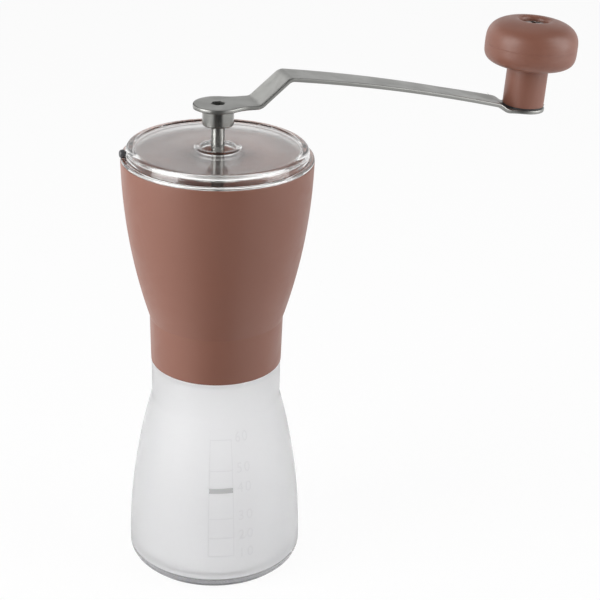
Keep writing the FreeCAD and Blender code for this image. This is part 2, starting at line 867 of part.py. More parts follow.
def knob_half(height, power, end_r):
    """Points of one half of the knob's side, from its widest circle to the radius end_r."""
    spots = []
    steps = 7
    end_turn = math.acos((end_r / knob_r) ** (power / 2))
    for i in range(steps + 1):
        turn = end_turn * i / steps
        r = knob_r * math.cos(turn) ** (2 / power)
        h = height * math.sin(turn) ** (2 / power)
        spots.append(point(r, knob_mid_h + h))
    return spots


def knob():
    """Plastic mushroom grip with a round stem, a bore for its pin and a sunk top."""
    above = knob_half(knob_up, knob_up_power, recess_r + recess_round)
    below = knob_half(-knob_down, knob_down_power, stem_top_r)
    upper = Part.BSplineCurve()
    upper.interpolate(above)
    lower = Part.BSplineCurve()
    lower.interpolate(below)
    rim = above[-1]
    under = below[-1]
    lip = point(recess_r, rim.z - recess_round)
    lip_middle = point(recess_r + recess_round * (1 - math.sqrt(0.5)),
                       rim.z - recess_round * (1 - math.sqrt(0.5)))
    floor_z = rim.z - recess_h
    bore_r = pin_r + running
    path = [
        point(bore_r, knob_washer_t),
        point(stem_foot_r, knob_washer_t),
        under,
    ]
    well = [lip, point(recess_r, floor_z), point(bore_r, floor_z), path[0]]
    edges = [Part.makeLine(a, b) for a, b in zip(path[:-1], path[1:])]
    edges += [lower.toShape(), upper.toShape()]
    edges.append(Part.Arc(rim, lip_middle, lip).toShape())
    edges += [Part.makeLine(a, b) for a, b in zip(well[:-1], well[1:])]
    outline = Part.Wire(Part.__sortEdges__(edges))
    return on_pad(Part.Face(outline).revolve(ORIGIN, UP, 360))


def knob_floor_h():
    """Height of the sunk floor above the pad."""
    rim = knob_half(knob_up, knob_up_power, recess_r + recess_round)[-1]
    return rim.z - recess_h


def knob_pin():
    """Shouldered pin that the knob turns on: cross-slotted head, shank and riveted end."""
    head_z = knob_floor_h() + pin_head_play
    head_top = head_z + pin_head_h
    body = turned([
        (0, -strip_t - pin_rivet_h),
        (pin_rivet_r, -strip_t - pin_rivet_h, pin_rivet_h / 2),
        (pin_rivet_r, -strip_t),
        (pin_end_r, -strip_t),
        (pin_end_r, 0),
        (pin_r, 0),
        (pin_r, head_z),
        (pin_head_r, head_z),
        (pin_head_r, head_top, pin_head_h / 2),
        (0, head_top),
    ])
    slot = Part.makeBox(cross_l, cross_w, cross_h + past,
                        Vector(-cross_l / 2, -cross_w / 2, head_top - cross_h))
    return on_pad(body.cut(slot.fuse(turned_quarter(slot))))


def turned_quarter(shape):
    copy = shape.copy()
    copy.rotate(ORIGIN, UP, 90)
    return copy


def knob_washer():
    return on_pad(disc(knob_washer_r, 0, knob_washer_t, pin_r + slip))


def shapes():
    return {
        "jar": jar(),
        "seal_ring": seal_ring(),
        "hopper_shell": hopper_shell(),
        "burr_housing": burr_housing(),
        "lower_bush": bush(spring_top_z, False),
        "upper_bush": bush(hub_top_z, True),
        "outer_burr": outer_burr(),
        "burr_retainer": burr_retainer(),
        "inner_burr": inner_burr(),
        "burr_carrier": burr_carrier(),
        "spring_washer": disc(washer_r, carrier_top_z, washer_t, shaft_r + slip),
        "spring": spring(),
        "nut_washer": disc(nut_washer_r, nut_washer_z, washer_t, shaft_r + slip),
        "adjust_nut": adjust_nut(),
        "nut_insert": nut_insert(),
        "drive_shaft": drive_shaft(),
        "thrust_washer": disc(thrust_r, thrust_z, thrust_t, shaft_r + slip),
        "retaining_clip": retaining_clip(),
        "lid": lid(),
        "lid_pull": lid_pull(),
        "crank_arm": crank_arm(),
        "crank_collar": crank_collar(),
        "knob_washer": knob_washer(),
        "knob_pin": knob_pin(),
        "knob": knob(),
    }


for name, shape in shapes().items():
    print(name, shape.isValid(), len(shape.Solids), round(shape.Volume, 1))
    shape.exportStep("parts/" + name + ".step")
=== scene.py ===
import json
import math

import bmesh
import bpy
from mathutils import Matrix, Vector


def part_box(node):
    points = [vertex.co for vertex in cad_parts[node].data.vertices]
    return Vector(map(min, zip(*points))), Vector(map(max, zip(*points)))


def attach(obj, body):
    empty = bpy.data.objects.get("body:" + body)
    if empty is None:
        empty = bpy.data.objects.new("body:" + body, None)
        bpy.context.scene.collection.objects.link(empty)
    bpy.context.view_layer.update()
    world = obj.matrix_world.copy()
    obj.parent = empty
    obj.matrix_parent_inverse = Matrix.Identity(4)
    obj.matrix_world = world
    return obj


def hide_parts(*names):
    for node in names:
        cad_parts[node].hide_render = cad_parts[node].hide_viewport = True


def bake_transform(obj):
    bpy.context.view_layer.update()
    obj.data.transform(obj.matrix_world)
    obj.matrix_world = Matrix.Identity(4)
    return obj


bl_info = {
    "name": "Hand Coffee Mill",
    "version": (1, 0, 0),
    "blender": (4, 5, 0),
    "location": "View3D > Sidebar > Mill",
    "description": "Builds the finished pieces of an hourglass hand coffee mill",
    "category": "Add Mesh",
}

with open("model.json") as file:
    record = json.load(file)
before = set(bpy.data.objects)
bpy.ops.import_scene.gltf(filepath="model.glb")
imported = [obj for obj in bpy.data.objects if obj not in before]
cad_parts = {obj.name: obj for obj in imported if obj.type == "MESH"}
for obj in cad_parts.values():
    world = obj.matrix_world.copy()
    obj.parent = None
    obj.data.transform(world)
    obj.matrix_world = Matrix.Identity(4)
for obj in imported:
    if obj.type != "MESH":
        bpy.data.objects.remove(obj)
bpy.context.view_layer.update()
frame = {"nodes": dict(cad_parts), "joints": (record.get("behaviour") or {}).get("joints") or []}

MM = 0.001
CENTRE = Vector((0, 0, 0))
UPWARDS = Vector((0, 0, 1))
FULL_TURN = 2 * math.pi
WELD = 0.000001
SOFT_EDGE = math.radians(33)
RIDGE_ROOT = 0.05 * MM


def lowest(node):
    """Lowest corner of a node's box."""
    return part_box(node)[0]


def highest(node):
    """Highest corner of a node's box."""
    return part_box(node)[1]


def length(name, description, millimetres):
    """A size that the user can set, shown in the scene's unit of length."""
    return bpy.props.FloatProperty(name=name, description=description, unit="LENGTH",
                                   default=millimetres * MM, precision=5)


def tint(name, description, rgb):
    """A colour that the user can set."""
    return bpy.props.FloatVectorProperty(name=name, description=description, size=3,
                                         subtype="COLOR", default=rgb, min=0, max=1)


# Settings that a user would change

class JarSettings(bpy.types.PropertyGroup):
    """Sizes of the frosted jar, its thread and its scale"""
    widest: length("Widest radius", "Radius of the side wall near the foot", 34.63)
    side_arc: length("Side arc", "Radius of the long arc of the side wall", 253.0)
    upright: length("Upright height", "Height at which the side wall stands upright", 3.0)
    waist: length("Waist radius", "Radius of the straight wall under the hopper", 25.2)
    shoulder: length("Shoulder height", "Height of the shoulder under the hopper", 86.2)
    wall: length("Wall", "Thickness of the wall", 2.0)
    floor: length("Floor", "Thickness of the floor", 3.2)
    recess: length("Recess", "Depth of the hollow under the floor", 0.8)
    foot: length("Foot width", "Width of the ring that stands on the table", 4.0)
    corner: length("Corner", "Rounding of the bottom corner", 4.4)
    neck: length("Neck radius", "Outer radius of the neck without its thread", 22.5)
    neck_wall: length("Neck wall", "Thickness of the neck", 1.6)
    thread: length("Thread height", "How far the thread stands out of the neck", 0.75)
    pitch: length("Thread pitch", "Rise of the thread in one turn", 3.2)
    print_height: length("Scale relief", "How far the scale stands out of the wall", 0.06)


class HopperSettings(bpy.types.PropertyGroup):
    """Sizes of the hopper's outer moulding"""
    widest: length("Widest radius", "Radius that the side's arc reaches above the rim", 35.95)
    side_arc: length("Side arc", "Radius of the long arc of the side wall", 220.0)
    upright: length("Upright rise", "How far above the rim the arc would stand upright", 3.0)
    skirt: length("Skirt radius", "Radius at the skirt's lower edge", 25.4)
    crease: length("Crease radius", "Radius where the skirt meets the flared side", 25.78)
    bore: length("Skirt bore", "Inner radius of the skirt", 23.6)
    wall: length("Wall", "Thickness of the flared wall", 2.2)
    ledge: length("Ledge bore", "Inner radius of the ledge that the burr housing sits on", 20.7)
    ledge_low: length("Ledge height", "Height of the ledge's lower face", 102.7)
    ledge_high: length("Ledge top", "Height of the ledge's upper face", 104.9)
    edge: length("Edge", "Rounding of the rim and of the skirt's edge", 0.25)
    thread: length("Thread height", "How far the thread stands in from the skirt", 0.65)


class LidSettings(bpy.types.PropertyGroup):
    """Sizes of the clear lid and its pull"""
    flange: length("Flange", "Thickness of the flange on the hopper's rim", 1.1)
    side_in: length("Side inset", "From the flange's edge in to the side wall", 1.5)
    rise: length("Rise", "Height of the raised border above the hopper's rim", 4.8)
    lean: length("Lean", "How far the side leans in on its way up", 0.7)
    shoulder: length("Shoulder", "Rounding of the lid's upper edge", 1.5)
    border: length("Border", "Width of the raised border of the top", 3.0)
    dish: length("Dish", "How far the top lies below its border", 0.6)
    wall: length("Wall", "Thickness of the top", 1.6)
    plug: length("Plug radius", "Outer radius of the wall inside the hopper", 33.38)
    plug_wall: length("Plug wall", "Thickness of the wall inside the hopper", 1.7)
    hole: length("Hole radius", "Radius of the hole round the shaft", 6.45)
    boss_wall: length("Boss wall", "Thickness of the tube under the hole", 1.5)
    boss: length("Boss height", "Height of the tube under the hole", 6.5)
    bead: length("Bead radius", "Outer radius of the bead round the hole", 8.9)
    bead_rise: length("Bead rise", "Height of the bead round the hole", 0.5)
    pull: length("Pull radius", "Radius of the pull's head", 1.6)


class CrankSettings(bpy.types.PropertyGroup):
    """Sizes of the crank's steel strip"""
    plate: length("Plate radius", "Radius of the round plate on the collar", 9.3)
    waist: length("Waist", "Half width of the strip beside the plate", 6.95)
    plate_blend: length("Plate blend", "Hollow rounding between plate and strip", 12.0)
    bend: length("Bend", "From the shaft's axis to the start of the rise", 14.0)
    rise_run: length("Rise run", "Horizontal length of the rise", 11.5)
    rise: length("Rise", "Height of the rise", 9.6)
    end_width: length("End width", "Half width of the strip beside the pad", 6.0)
    bow: length("Bow", "How far the long run bows upwards", 1.45)
    pad: length("Pad radius", "Radius of the pad under the knob", 8.5)
    pad_blend: length("Pad blend", "Hollow rounding between strip and pad", 20.0)
    pad_drop: length("Pad drop", "How far the pad lies below the plate", 10.2)
    pad_join: length("Pad join", "From the knob's axis back to the pad's bend", 9.2)
    ramp_run: length("Ramp length", "Length of the ramp that sets the pad down", 3.0)
    ramp: length("Ramp", "How far the pad is set down below the run's end", 2.4)
    ramp_skew: length("Ramp skew", "How much nearer the knob the ramp is at the back", 3.5)
    gauge: length("Gauge", "Thickness of the strip", 1.5)
    socket: length("Socket", "Width of the hexagonal hole across its flats", 4.8)
    edge: length("Edge", "Rounding along the strip's sides", 0.35)


class KnobSettings(bpy.types.PropertyGroup):
    """Sizes of the mushroom knob"""
    widest: length("Widest radius", "Radius of the knob's widest circle", 17.9)
    middle: length("Middle", "Height of the widest circle above the pad", 24.2)
    crown: length("Crown", "Height of the knob above its widest circle", 10.3)
    bowl: length("Bowl", "Depth of the knob below its widest circle", 8.6)
    stem_foot: length("Stem foot", "Radius of the stem on its washer", 8.1)
    stem_top: length("Stem top", "Radius of the stem under the bowl", 8.05)
    well: length("Well radius", "Radius of the sunk top", 5.6)
    well_depth: length("Well depth", "Depth of the sunk top", 3.6)
    well_edge: length("Well edge", "Rounding of the sunk top's edge", 1.6)
    bore: length("Bore", "Radius of the bore for the pin", 3.05)
    seam: length("Seam", "Depth of the parting line round the widest circle", 0.08)
    lean: bpy.props.FloatProperty(name="Lean", description="Outward lean of the knob",
                                  subtype="ANGLE", default=math.radians(3.0))


class ShaftSettings(bpy.types.PropertyGroup):
    """Sizes of the drive shaft"""
    rod: length("Rod radius", "Radius of the round part", 2.5)
    flats: length("Flats", "Width of the hexagons across their flats", 4.2)
    screw: length("Screw radius", "Outer radius of the thread at the lower end", 2.0)
    screw_pitch: length("Screw pitch", "Rise of that thread in one turn", 1.0)
    screw_depth: length("Screw depth", "Depth of that thread", 0.3)
    groove: length("Groove depth", "Depth of the retaining clip's groove", 0.6)
    hex_low: length("Burr hexagon foot", "Height at which the burr's hexagon starts", 94.2)
    hex_high: length("Burr hexagon top", "Height at which the burr's hexagon ends", 114.9)
    collar: length("Crank hexagon foot", "Height at which the crank's hexagon starts", 181.2)


class SpringSettings(bpy.types.PropertyGroup):
    """Sizes of the coil under the lower bush"""
    wire: length("Wire", "Thickness of the wire", 0.9)
    turns: bpy.props.FloatProperty(name="Turns", description="Number of the coil's turns",
                                   default=4.5)


class FinishSettings(bpy.types.PropertyGroup):
    """Colours of the mill's finishes"""
    brown: tint("Brown", "Moulded plastic of hopper and knob", (0.208, 0.084, 0.056))
    frost: tint("Frost", "Frosted wall of the jar", (0.96, 0.96, 0.965))
    # Painted shade: the clear foot's dark grey stands in for the shade seen in the thick clear
    # foot, not for a colour of the plastic.
    foot: tint("Jar foot", "Thick clear foot of the jar", (0.25, 0.25, 0.26))
    steel: tint("Steel", "Bare steel of crank, collar and shaft", (0.27, 0.27, 0.258))
    ceramic: tint("Ceramic", "Unglazed ceramic of the burrs", (0.86, 0.84, 0.79))
    brass: tint("Brass", "Insert of the adjusting nut", (0.72, 0.53, 0.24))
    black: tint("Black", "Black plastic of carrier, retainer and nut", (0.028, 0.028, 0.030))
    pull: tint("Pull", "Dark grey pull of the lid", (0.055, 0.055, 0.06))
    bush: tint("Bush", "Natural plastic of the bushes", (0.78, 0.76, 0.70))
    seal: tint("Seal", "Soft ring of the jar", (0.72, 0.72, 0.70))


SETTINGS = {
    "mill_jar": JarSettings,
    "mill_hopper": HopperSettings,
    "mill_lid": LidSettings,
    "mill_crank": CrankSettings,
    "mill_knob": KnobSettings,
    "mill_shaft": ShaftSettings,
    "mill_spring": SpringSettings,
    "mill_finish": FinishSettings,
}


# Shapes

def round_corner(bm, vert, radius, steps=5):
    """Rounds one corner of a wire outline to an arc of that radius."""
    arms = [edge.other_vert(vert).co - vert.co for edge in vert.link_edges]
    half = arms[0].angle(arms[1]) / 2
    bmesh.ops.bevel(bm, geom=[vert], offset=radius / math.tan(half), offset_type="OFFSET",
                    segments=steps, profile=0.5, affect="VERTICES", material=-1)


def outline(corners, closed=True):
    """Wire in the XZ plane from (radius, height) or (radius, height, rounding) corners."""
    bm = bmesh.new()
    verts = [bm.verts.new((corner[0], 0, corner[1])) for corner in corners]
    following = verts[1:] + verts[:1] if closed else verts[1:]
    for start, end in zip(verts, following):
        if start.co.x > 0 or end.co.x > 0:
            bm.edges.new((start, end))
    for vert, corner in zip(verts, corners):
        if len(corner) > 2:
            round_corner(bm, vert, corner[2])
    return bm


def turned(corners, steps=144):
    """Closed body of revolution about the mill's axis."""
    bm = outline(corners)
    bmesh.ops.spin(bm, geom=bm.verts[:] + bm.edges[:], cent=CENTRE, axis=UPWARDS,
                   angle=FULL_TURN, steps=steps, use_merge=True, use_duplicate=False)
    return closed_body(bm)


def closed_body(bm):
    """Welds doubles and makes the faces of each body look the same way."""
    bmesh.ops.remove_doubles(bm, verts=bm.verts, dist=WELD)
    bmesh.ops.recalc_face_normals(bm, faces=bm.faces)
    return bm


def separate_bodies(bm):
    """Lists of faces that hang together."""
    found = set()
    for first in bm.faces:
        if first in found:
            continue
        found.add(first)
        body = [first]
        for face in body:
            near = [other for edge in face.edges for other in edge.link_faces]
            for other in near:
                if other not in found:
                    found.add(other)
                    body.append(other)
        yield body


def face_outwards(bm):
    """Turns the faces of each body outwards, told by the sign of what they enclose."""
    bm.normal_update()
    for body in separate_bodies(bm):
        enclosed = sum(face.calc_center_median().dot(face.normal) * face.calc_area()
                       for face in body)
        if enclosed < 0:
            bmesh.ops.reverse_faces(bm, faces=body)


def put_in_order(bm):
    """Sorts edges and faces by their points, so that the order is the same on every run."""
    bm.verts.index_update()
    count = len(bm.verts)

    def place(part):
        last_to_first = sorted((vert.index for vert in part.verts), reverse=True)[-3:]
        return sum(index * count ** i for i, index in enumerate(last_to_first))

    bm.edges.sort(key=place)
    bm.faces.sort(key=place)


def spaced(start, end, steps):
    """Values from start to end at equal steps, both ends included."""
    return [start + (end - start) * i / steps for i in range(steps + 1)]


def flare(widest, arc, upright, height):
    """Radius of a side wall that is an arc standing upright at one height."""
    return widest - arc + math.sqrt(arc ** 2 - (height - upright) ** 2)


def flare_rise(widest, arc, radius):
    """How far from its upright height such a wall has come in to a radius."""
    return math.sqrt(arc ** 2 - (radius - widest + arc) ** 2)


def close_ends(bm, sides):
    """Fills both open ends of a section that was swept along a helix."""
    ends = [edge for edge in bm.edges if edge.is_boundary]
    bmesh.ops.holes_fill(bm, edges=ends, sides=sides)
    bmesh.ops.recalc_face_normals(bm, faces=bm.faces)
    return bm


def ridge(radius, stand, width, foot, pitch, turns, steps_a_turn=72):
    """Helical thread ridge on a cylinder; a negative stand makes it point inwards."""
    root = radius - math.copysign(RIDGE_ROOT, stand)
    crest = radius + stand
    bm = bmesh.new()
    section = [
        bm.verts.new((root, 0, foot - width / 2)),
        bm.verts.new((crest, 0, foot - width / 5)),
        bm.verts.new((crest, 0, foot + width / 5)),
        bm.verts.new((root, 0, foot + width / 2)),
    ]
    edges = [bm.edges.new((a, b)) for a, b in zip(section, section[1:] + section[:1])]
    steps = int(turns * steps_a_turn)
    bmesh.ops.spin(bm, geom=section + edges, cent=CENTRE, axis=UPWARDS,
                   dvec=(0, 0, pitch / steps_a_turn), angle=FULL_TURN * turns, steps=steps,
                   use_duplicate=False)
    bm.verts.ensure_lookup_table()
    run_out = steps_a_turn / 9
    for i, vert in enumerate(bm.verts):
        step = i // len(section)
        fade = min(1, step / run_out, (steps - step) / run_out)
        reach = math.hypot(vert.co.x, vert.co.y)
        kept = root + (reach - root) * fade
        vert.co.x *= kept / reach
        vert.co.y *= kept / reach
    return close_ends(bm, len(section))


def hexagon(flats, low, high):
    """Upright hexagonal bar of a width across its flats, between two heights."""
    corner = flats / math.sqrt(3)
    bm = bmesh.new()
    bmesh.ops.create_cone(bm, cap_ends=True, segments=6, radius1=corner, radius2=corner,
                          depth=high - low)
    bmesh.ops.rotate(bm, verts=bm.verts, cent=CENTRE,
                     matrix=Matrix.Rotation(math.radians(30), 3, "Z"))
    bmesh.ops.translate(bm, verts=bm.verts, vec=(0, 0, (low + high) / 2))
    return bm


def joined(*parts):
    """One mesh from several."""
    whole = bmesh.new()
    for part in parts:
        mesh = bpy.data.meshes.new("part")
        part.to_mesh(mesh)
        part.free()
        whole.from_mesh(mesh)
        bpy.data.meshes.remove(mesh)
    return whole


def soften(bm):
    """Smooth shading, broken along the sharp edges."""
    for face in bm.faces:
        face.smooth = True
    for edge in bm.edges:
        edge.smooth = edge.calc_face_angle(0) < SOFT_EDGE


def new_piece(name, bm, finish, slot, *nodes):
    """Turns a mesh into a piece with a finish, which stands for the named nodes."""
    put_in_order(bm)
    face_outwards(bm)
    soften(bm)
    mesh = bpy.data.meshes.new(name)
    bm.to_mesh(mesh)
    bm.free()
    mesh.materials.append(bpy.data.materials[finish])
    piece = bpy.data.objects.new(name, mesh)
    bpy.context.scene.collection.objects.link(piece)
    if nodes:
        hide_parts(*nodes)
    return piece


def add_piece(name, bm, finish, body, slot, *nodes):
    """Makes a piece that rides on a body."""
    piece = new_piece(name, bm, finish, slot, *nodes)
    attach(piece, body)
    return piece


def cut_away(piece, tool):
    """Cuts a tool's shape out of a piece and deletes the tool."""
    mesh = bpy.data.meshes.new("tool")
    tool.to_mesh(mesh)
    tool.free()
    cutter = bpy.data.objects.new("tool", mesh)
    bpy.context.scene.collection.objects.link(cutter)
    cut = piece.modifiers.new("cut", "BOOLEAN")
    cut.object = cutter
    cut.operation = "DIFFERENCE"
    cut.solver = "FAST"
    view = bpy.context.evaluated_depsgraph_get()
    whole = piece.data
    piece.data = bpy.data.meshes.new_from_object(piece.evaluated_get(view))
    piece.data.name = whole.name
    piece.modifiers.remove(cut)
    bpy.data.meshes.remove(whole)
    bpy.data.objects.remove(cutter)
    bpy.data.meshes.remove(mesh)


# Finishes

def plug(tree, value, socket):
    """Feeds a socket from another node's socket, or sets it to a plain value."""
    if isinstance(value, bpy.types.NodeSocket):
        tree.links.new(value, socket)
    elif socket.type == "RGBA":
        socket.default_value = (*value, 1)
    else:
        socket.default_value = value


def add_node(tree, kind, **settings):
    """New node; a setting names one of its sockets, with _ for a blank, or an attribute."""
    node = tree.nodes.new(kind)
    for name, value in settings.items():
        socket = name.replace("_", " ")
        if socket in node.inputs:
            plug(tree, value, node.inputs[socket])
        else:
            setattr(node, name, value)
    return node


def spread(tree, value, start, end, low=0.0, high=1.0, shape="LINEAR"):
    """A value spread over a new range: start becomes low and end becomes high."""
    node = add_node(tree, "ShaderNodeMapRange", interpolation_type=shape, Value=value,
                    From_Min=start, From_Max=end, To_Min=low, To_Max=high)
    return node.outputs["Result"]


def combined(tree, operation, first, second):
    """One number worked out from two."""
    node = add_node(tree, "ShaderNodeMath", operation=operation)
    plug(tree, first, node.inputs[0])
    plug(tree, second, node.inputs[1])
    return node.outputs[0]


def vector_step(tree, operation, first, second=CENTRE, result="Vector"):
    """A vector worked out from one or two others, or the number it comes to."""
    node = add_node(tree, "ShaderNodeVectorMath", operation=operation)
    plug(tree, first, node.inputs[0])
    plug(tree, second, node.inputs[1])
    return node.outputs[result]


def mixed(tree, kind, share, first, second):
    """A number, vector or colour between two others, by a 0 to 1 share of the second."""
    place = ("FLOAT", "VECTOR", "RGBA").index(kind)
    node = add_node(tree, "ShaderNodeMix", data_type=kind, Factor=share)
    plug(tree, first, node.inputs[2 + 2 * place])
    plug(tree, second, node.inputs[3 + 2 * place])
    return node.outputs[place]


def new_group(name, inputs, outputs):
    """Empty shader node group with its sockets, and the nodes that hold them."""
    tree = bpy.data.node_groups.new(name, "ShaderNodeTree")
    for socket, default in inputs.items():
        made = tree.interface.new_socket(socket, in_out="INPUT", socket_type="NodeSocketFloat")
        made.default_value = default
    for socket in outputs:
        tree.interface.new_socket(socket, in_out="OUTPUT", socket_type="NodeSocketFloat")
    return tree, tree.nodes.new("NodeGroupInput"), tree.nodes.new("NodeGroupOutput")


def moulded_grain():
    """Fine pebble of a moulded surface, slow mottling and the smudges of handling."""
    tree, given, result = new_group(
        "moulded_grain", {"Grain Scale": 2600.0, "Mottle Scale": 28.0},
        ("Height", "Mottle", "Smudge"))
    place = add_node(tree, "ShaderNodeTexCoord").outputs["Object"]
    grain = add_node(tree, "ShaderNodeTexNoise", Vector=place, Detail=2.0, Roughness=0.5,
                     Scale=given.outputs["Grain Scale"])
    mottle = add_node(tree, "ShaderNodeTexNoise", Vector=place, Detail=3.0, Roughness=0.55,
                      Scale=given.outputs["Mottle Scale"])
    smudge = add_node(tree, "ShaderNodeTexNoise", Vector=place, Detail=5.0, Roughness=0.62,
                      Scale=75.0, Distortion=0.6)
    plug(tree, grain.outputs["Fac"], result.inputs["Height"])
    plug(tree, mottle.outputs["Fac"], result.inputs["Mottle"])
    plug(tree, spread(tree, smudge.outputs["Fac"], 0.42, 0.68), result.inputs["Smudge"])


def tool_lines():
    """Lines left by a tool: stretched noise, thin across and long along the surface."""
    tree, given, result = new_group(
        "tool_lines", {"Along": 12.0, "Across": 3200.0, "Turned": 0.0}, ("Line",))
    place = add_node(tree, "ShaderNodeTexCoord").outputs["Object"]
    apart = add_node(tree, "ShaderNodeSeparateXYZ", Vector=place)

    def stretched(**factors):
        """The place, with each of its axes scaled by one of the group's values."""
        scaled = {axis: combined(tree, "MULTIPLY", apart.outputs[axis], given.outputs[factor])
                  for axis, factor in factors.items()}
        return add_node(tree, "ShaderNodeCombineXYZ", **scaled).outputs["Vector"]

    straight = stretched(X="Along", Y="Across", Z="Along")
    round_about = stretched(X="Along", Y="Along", Z="Across")
    choice = mixed(tree, "VECTOR", given.outputs["Turned"], straight, round_about)
    line = add_node(tree, "ShaderNodeTexNoise", Vector=choice, Scale=1.0, Detail=3.0,
                    Roughness=0.7)
    plug(tree, line.outputs["Fac"], result.inputs["Line"])


class Finish:
    """A material under construction: its tree, its shader and the links into it."""

    def __init__(self, name, colour, roughness, **sockets):
        self.material = bpy.data.materials.new(name)
        self.material.use_nodes = True
        self.tree = self.material.node_tree
        self.shader = self.tree.nodes["Principled BSDF"]
        self.feed(Base_Color=colour, Roughness=roughness, **sockets)

    def feed(self, **sockets):
        """Feeds the shader's sockets, each from another node or with a plain value."""
        for name, value in sockets.items():
            plug(self.tree, value, self.shader.inputs[name.replace("_", " ")])

    def effect(self, name, **values):
        """The outputs of a shared effect, with this material's own values."""
        group = bpy.data.node_groups[name]
        return add_node(self.tree, "ShaderNodeGroup", node_tree=group, **values).outputs

    def ranged(self, value, low, high):
        """Spreads a 0 to 1 value over a new range."""
        return spread(self.tree, value, 0, 1, low, high)

    def blended(self, share, first, second):
        """Colour between two others, by a 0 to 1 share of the second."""
        return mixed(self.tree, "RGBA", share, first, second)

    def ring(self, heights, radii):
        """1 in a ring round the mill's axis: past the second height and second radius."""
        place = add_node(self.tree, "ShaderNodeTexCoord").outputs["Object"]
        height = add_node(self.tree, "ShaderNodeSeparateXYZ", Vector=place).outputs["Z"]
        flat = vector_step(self.tree, "MULTIPLY", place, (1, 1, 0))
        across = vector_step(self.tree, "LENGTH", flat, result="Value")
        return combined(self.tree, "MINIMUM", spread(self.tree, height, *heights),
                        spread(self.tree, across, *radii))

    def bump(self, height, depth):
        """Relief of a real depth from a 0 to 1 height."""
        relief = add_node(self.tree, "ShaderNodeBump", Strength=1.0, Distance=depth,
                          Height=height)
        self.feed(Normal=relief.outputs["Normal"])


def shade(colour, factor):
    """A colour made darker or lighter."""
    return tuple(channel * factor for channel in colour)


def moulded(name, colour, roughness, grain_depth, contrast, **sockets):
    """Moulded plastic: mottled colour, smudged roughness and a fine pebble."""
    finish = Finish(name, colour, roughness, **sockets)
    grain = finish.effect("moulded_grain")
    dark = shade(colour, 1 - contrast)
    light = shade(colour, 1 + contrast)
    finish.feed(Base_Color=finish.blended(grain["Mottle"], dark, light),
                Roughness=finish.ranged(grain["Smudge"], roughness - 0.05, roughness + 0.05))
    finish.bump(grain["Height"], grain_depth)
    return finish


def bare_metal(name, colour, roughness, turned_round):
    """Bare metal with drawn lines (0) or with lines turned round the mill's axis (1)."""
    finish = Finish(name, colour, roughness, Metallic=1.0)
    line = finish.effect("tool_lines", Turned=turned_round)["Line"]
    worn = finish.effect("moulded_grain")["Smudge"]
    finish.feed(Base_Color=finish.blended(line, shade(colour, 0.8), shade(colour, 1.2)),
                Roughness=finish.ranged(worn, roughness - 0.06, roughness + 0.08))
    finish.bump(line, 0.004 * MM)
    return finish


def frosted_wall(colours):
    """Frosted jar: milky, with painted shade that darkens the wall towards its silhouette, and a
    dark grey band of painted shade round the outside of its thick clear foot.
    """
    finish = Finish("frosted_wall", colours.frost, 0.5, Transmission_Weight=0.88, IOR=1.45,
                    Specular_IOR_Level=0.25)
    grain = finish.effect("moulded_grain", Grain_Scale=1900.0)
    # Painted shade: a ring round the outside of the thick clear foot gets the dark grey foot
    # colour, which stands in for the shade seen there; its roughness is also lower.
    foot = finish.ring((5.3 * MM, 4.9 * MM), (30.0 * MM, 31.5 * MM))
    # Painted shade: Layer Weight's facing darkens the wall's colour towards the silhouette. This
    # is partly for the longer path through the wall there and partly painted shade.
    edge = add_node(finish.tree, "ShaderNodeLayerWeight", Blend=0.5).outputs["Facing"]
    wall = finish.blended(edge, colours.frost, shade(colours.frost, 0.84))
    finish.feed(Base_Color=finish.blended(foot, wall, colours.foot),
                Roughness=finish.ranged(foot, 0.55, 0.22))
    finish.bump(grain["Height"], 0.01 * MM)
    return finish


def clear_wall():
    """Clear polished plastic of the lid, matt on the underside of its top."""
    lid = bpy.context.scene.mill_lid
    under = lid_underside(lid)
    bore = lid.plug - lid.plug_wall
    finish = Finish("clear_wall", (0.97, 0.975, 0.97), 0.05, Transmission_Weight=1.0, IOR=1.49)
    matt = finish.ring((under + 1.0 * MM, under + 0.4 * MM), (bore - 0.3 * MM, bore - 0.8 * MM))
    shadow = add_node(finish.tree, "ShaderNodeLightPath").outputs["Is Shadow Ray"]
    finish.feed(Roughness=finish.ranged(matt, 0.05, 0.25),
                Alpha=finish.ranged(shadow, 1.0, 0.15))
    finish.bump(finish.effect("moulded_grain")["Mottle"], 0.01 * MM)
    return finish


def make_finishes(colours):
    """All the mill's materials, by name."""
    moulded_grain()
    tool_lines()
    made = [
        moulded("brown_moulding", colours.brown, 0.46, 0.012 * MM, 0.05),
        frosted_wall(colours),
        moulded("scale_relief", shade(colours.frost, 0.9), 0.5, 0.004 * MM, 0.02,
                Transmission_Weight=0.88, IOR=1.45),
        moulded("scale_bar", shade(colours.frost, 0.5), 0.5, 0.004 * MM, 0.02),
        clear_wall(),
        bare_metal("drawn_steel", colours.steel, 0.40, 0.0),
        bare_metal("turned_steel", colours.steel, 0.20, 1.0),
        moulded("burr_ceramic", colours.ceramic, 0.62, 0.03 * MM, 0.04),
        bare_metal("turned_brass", colours.brass, 0.28, 1.0),
        moulded("black_moulding", colours.black, 0.5, 0.015 * MM, 0.08),
        moulded("pull_moulding", colours.pull, 0.4, 0.008 * MM, 0.05),
        moulded("bush_moulding", colours.bush, 0.42, 0.006 * MM, 0.03),
        moulded("seal_rubber", colours.seal, 0.6, 0.01 * MM, 0.03),
    ]
    return {finish.material.name: finish.material for finish in made}


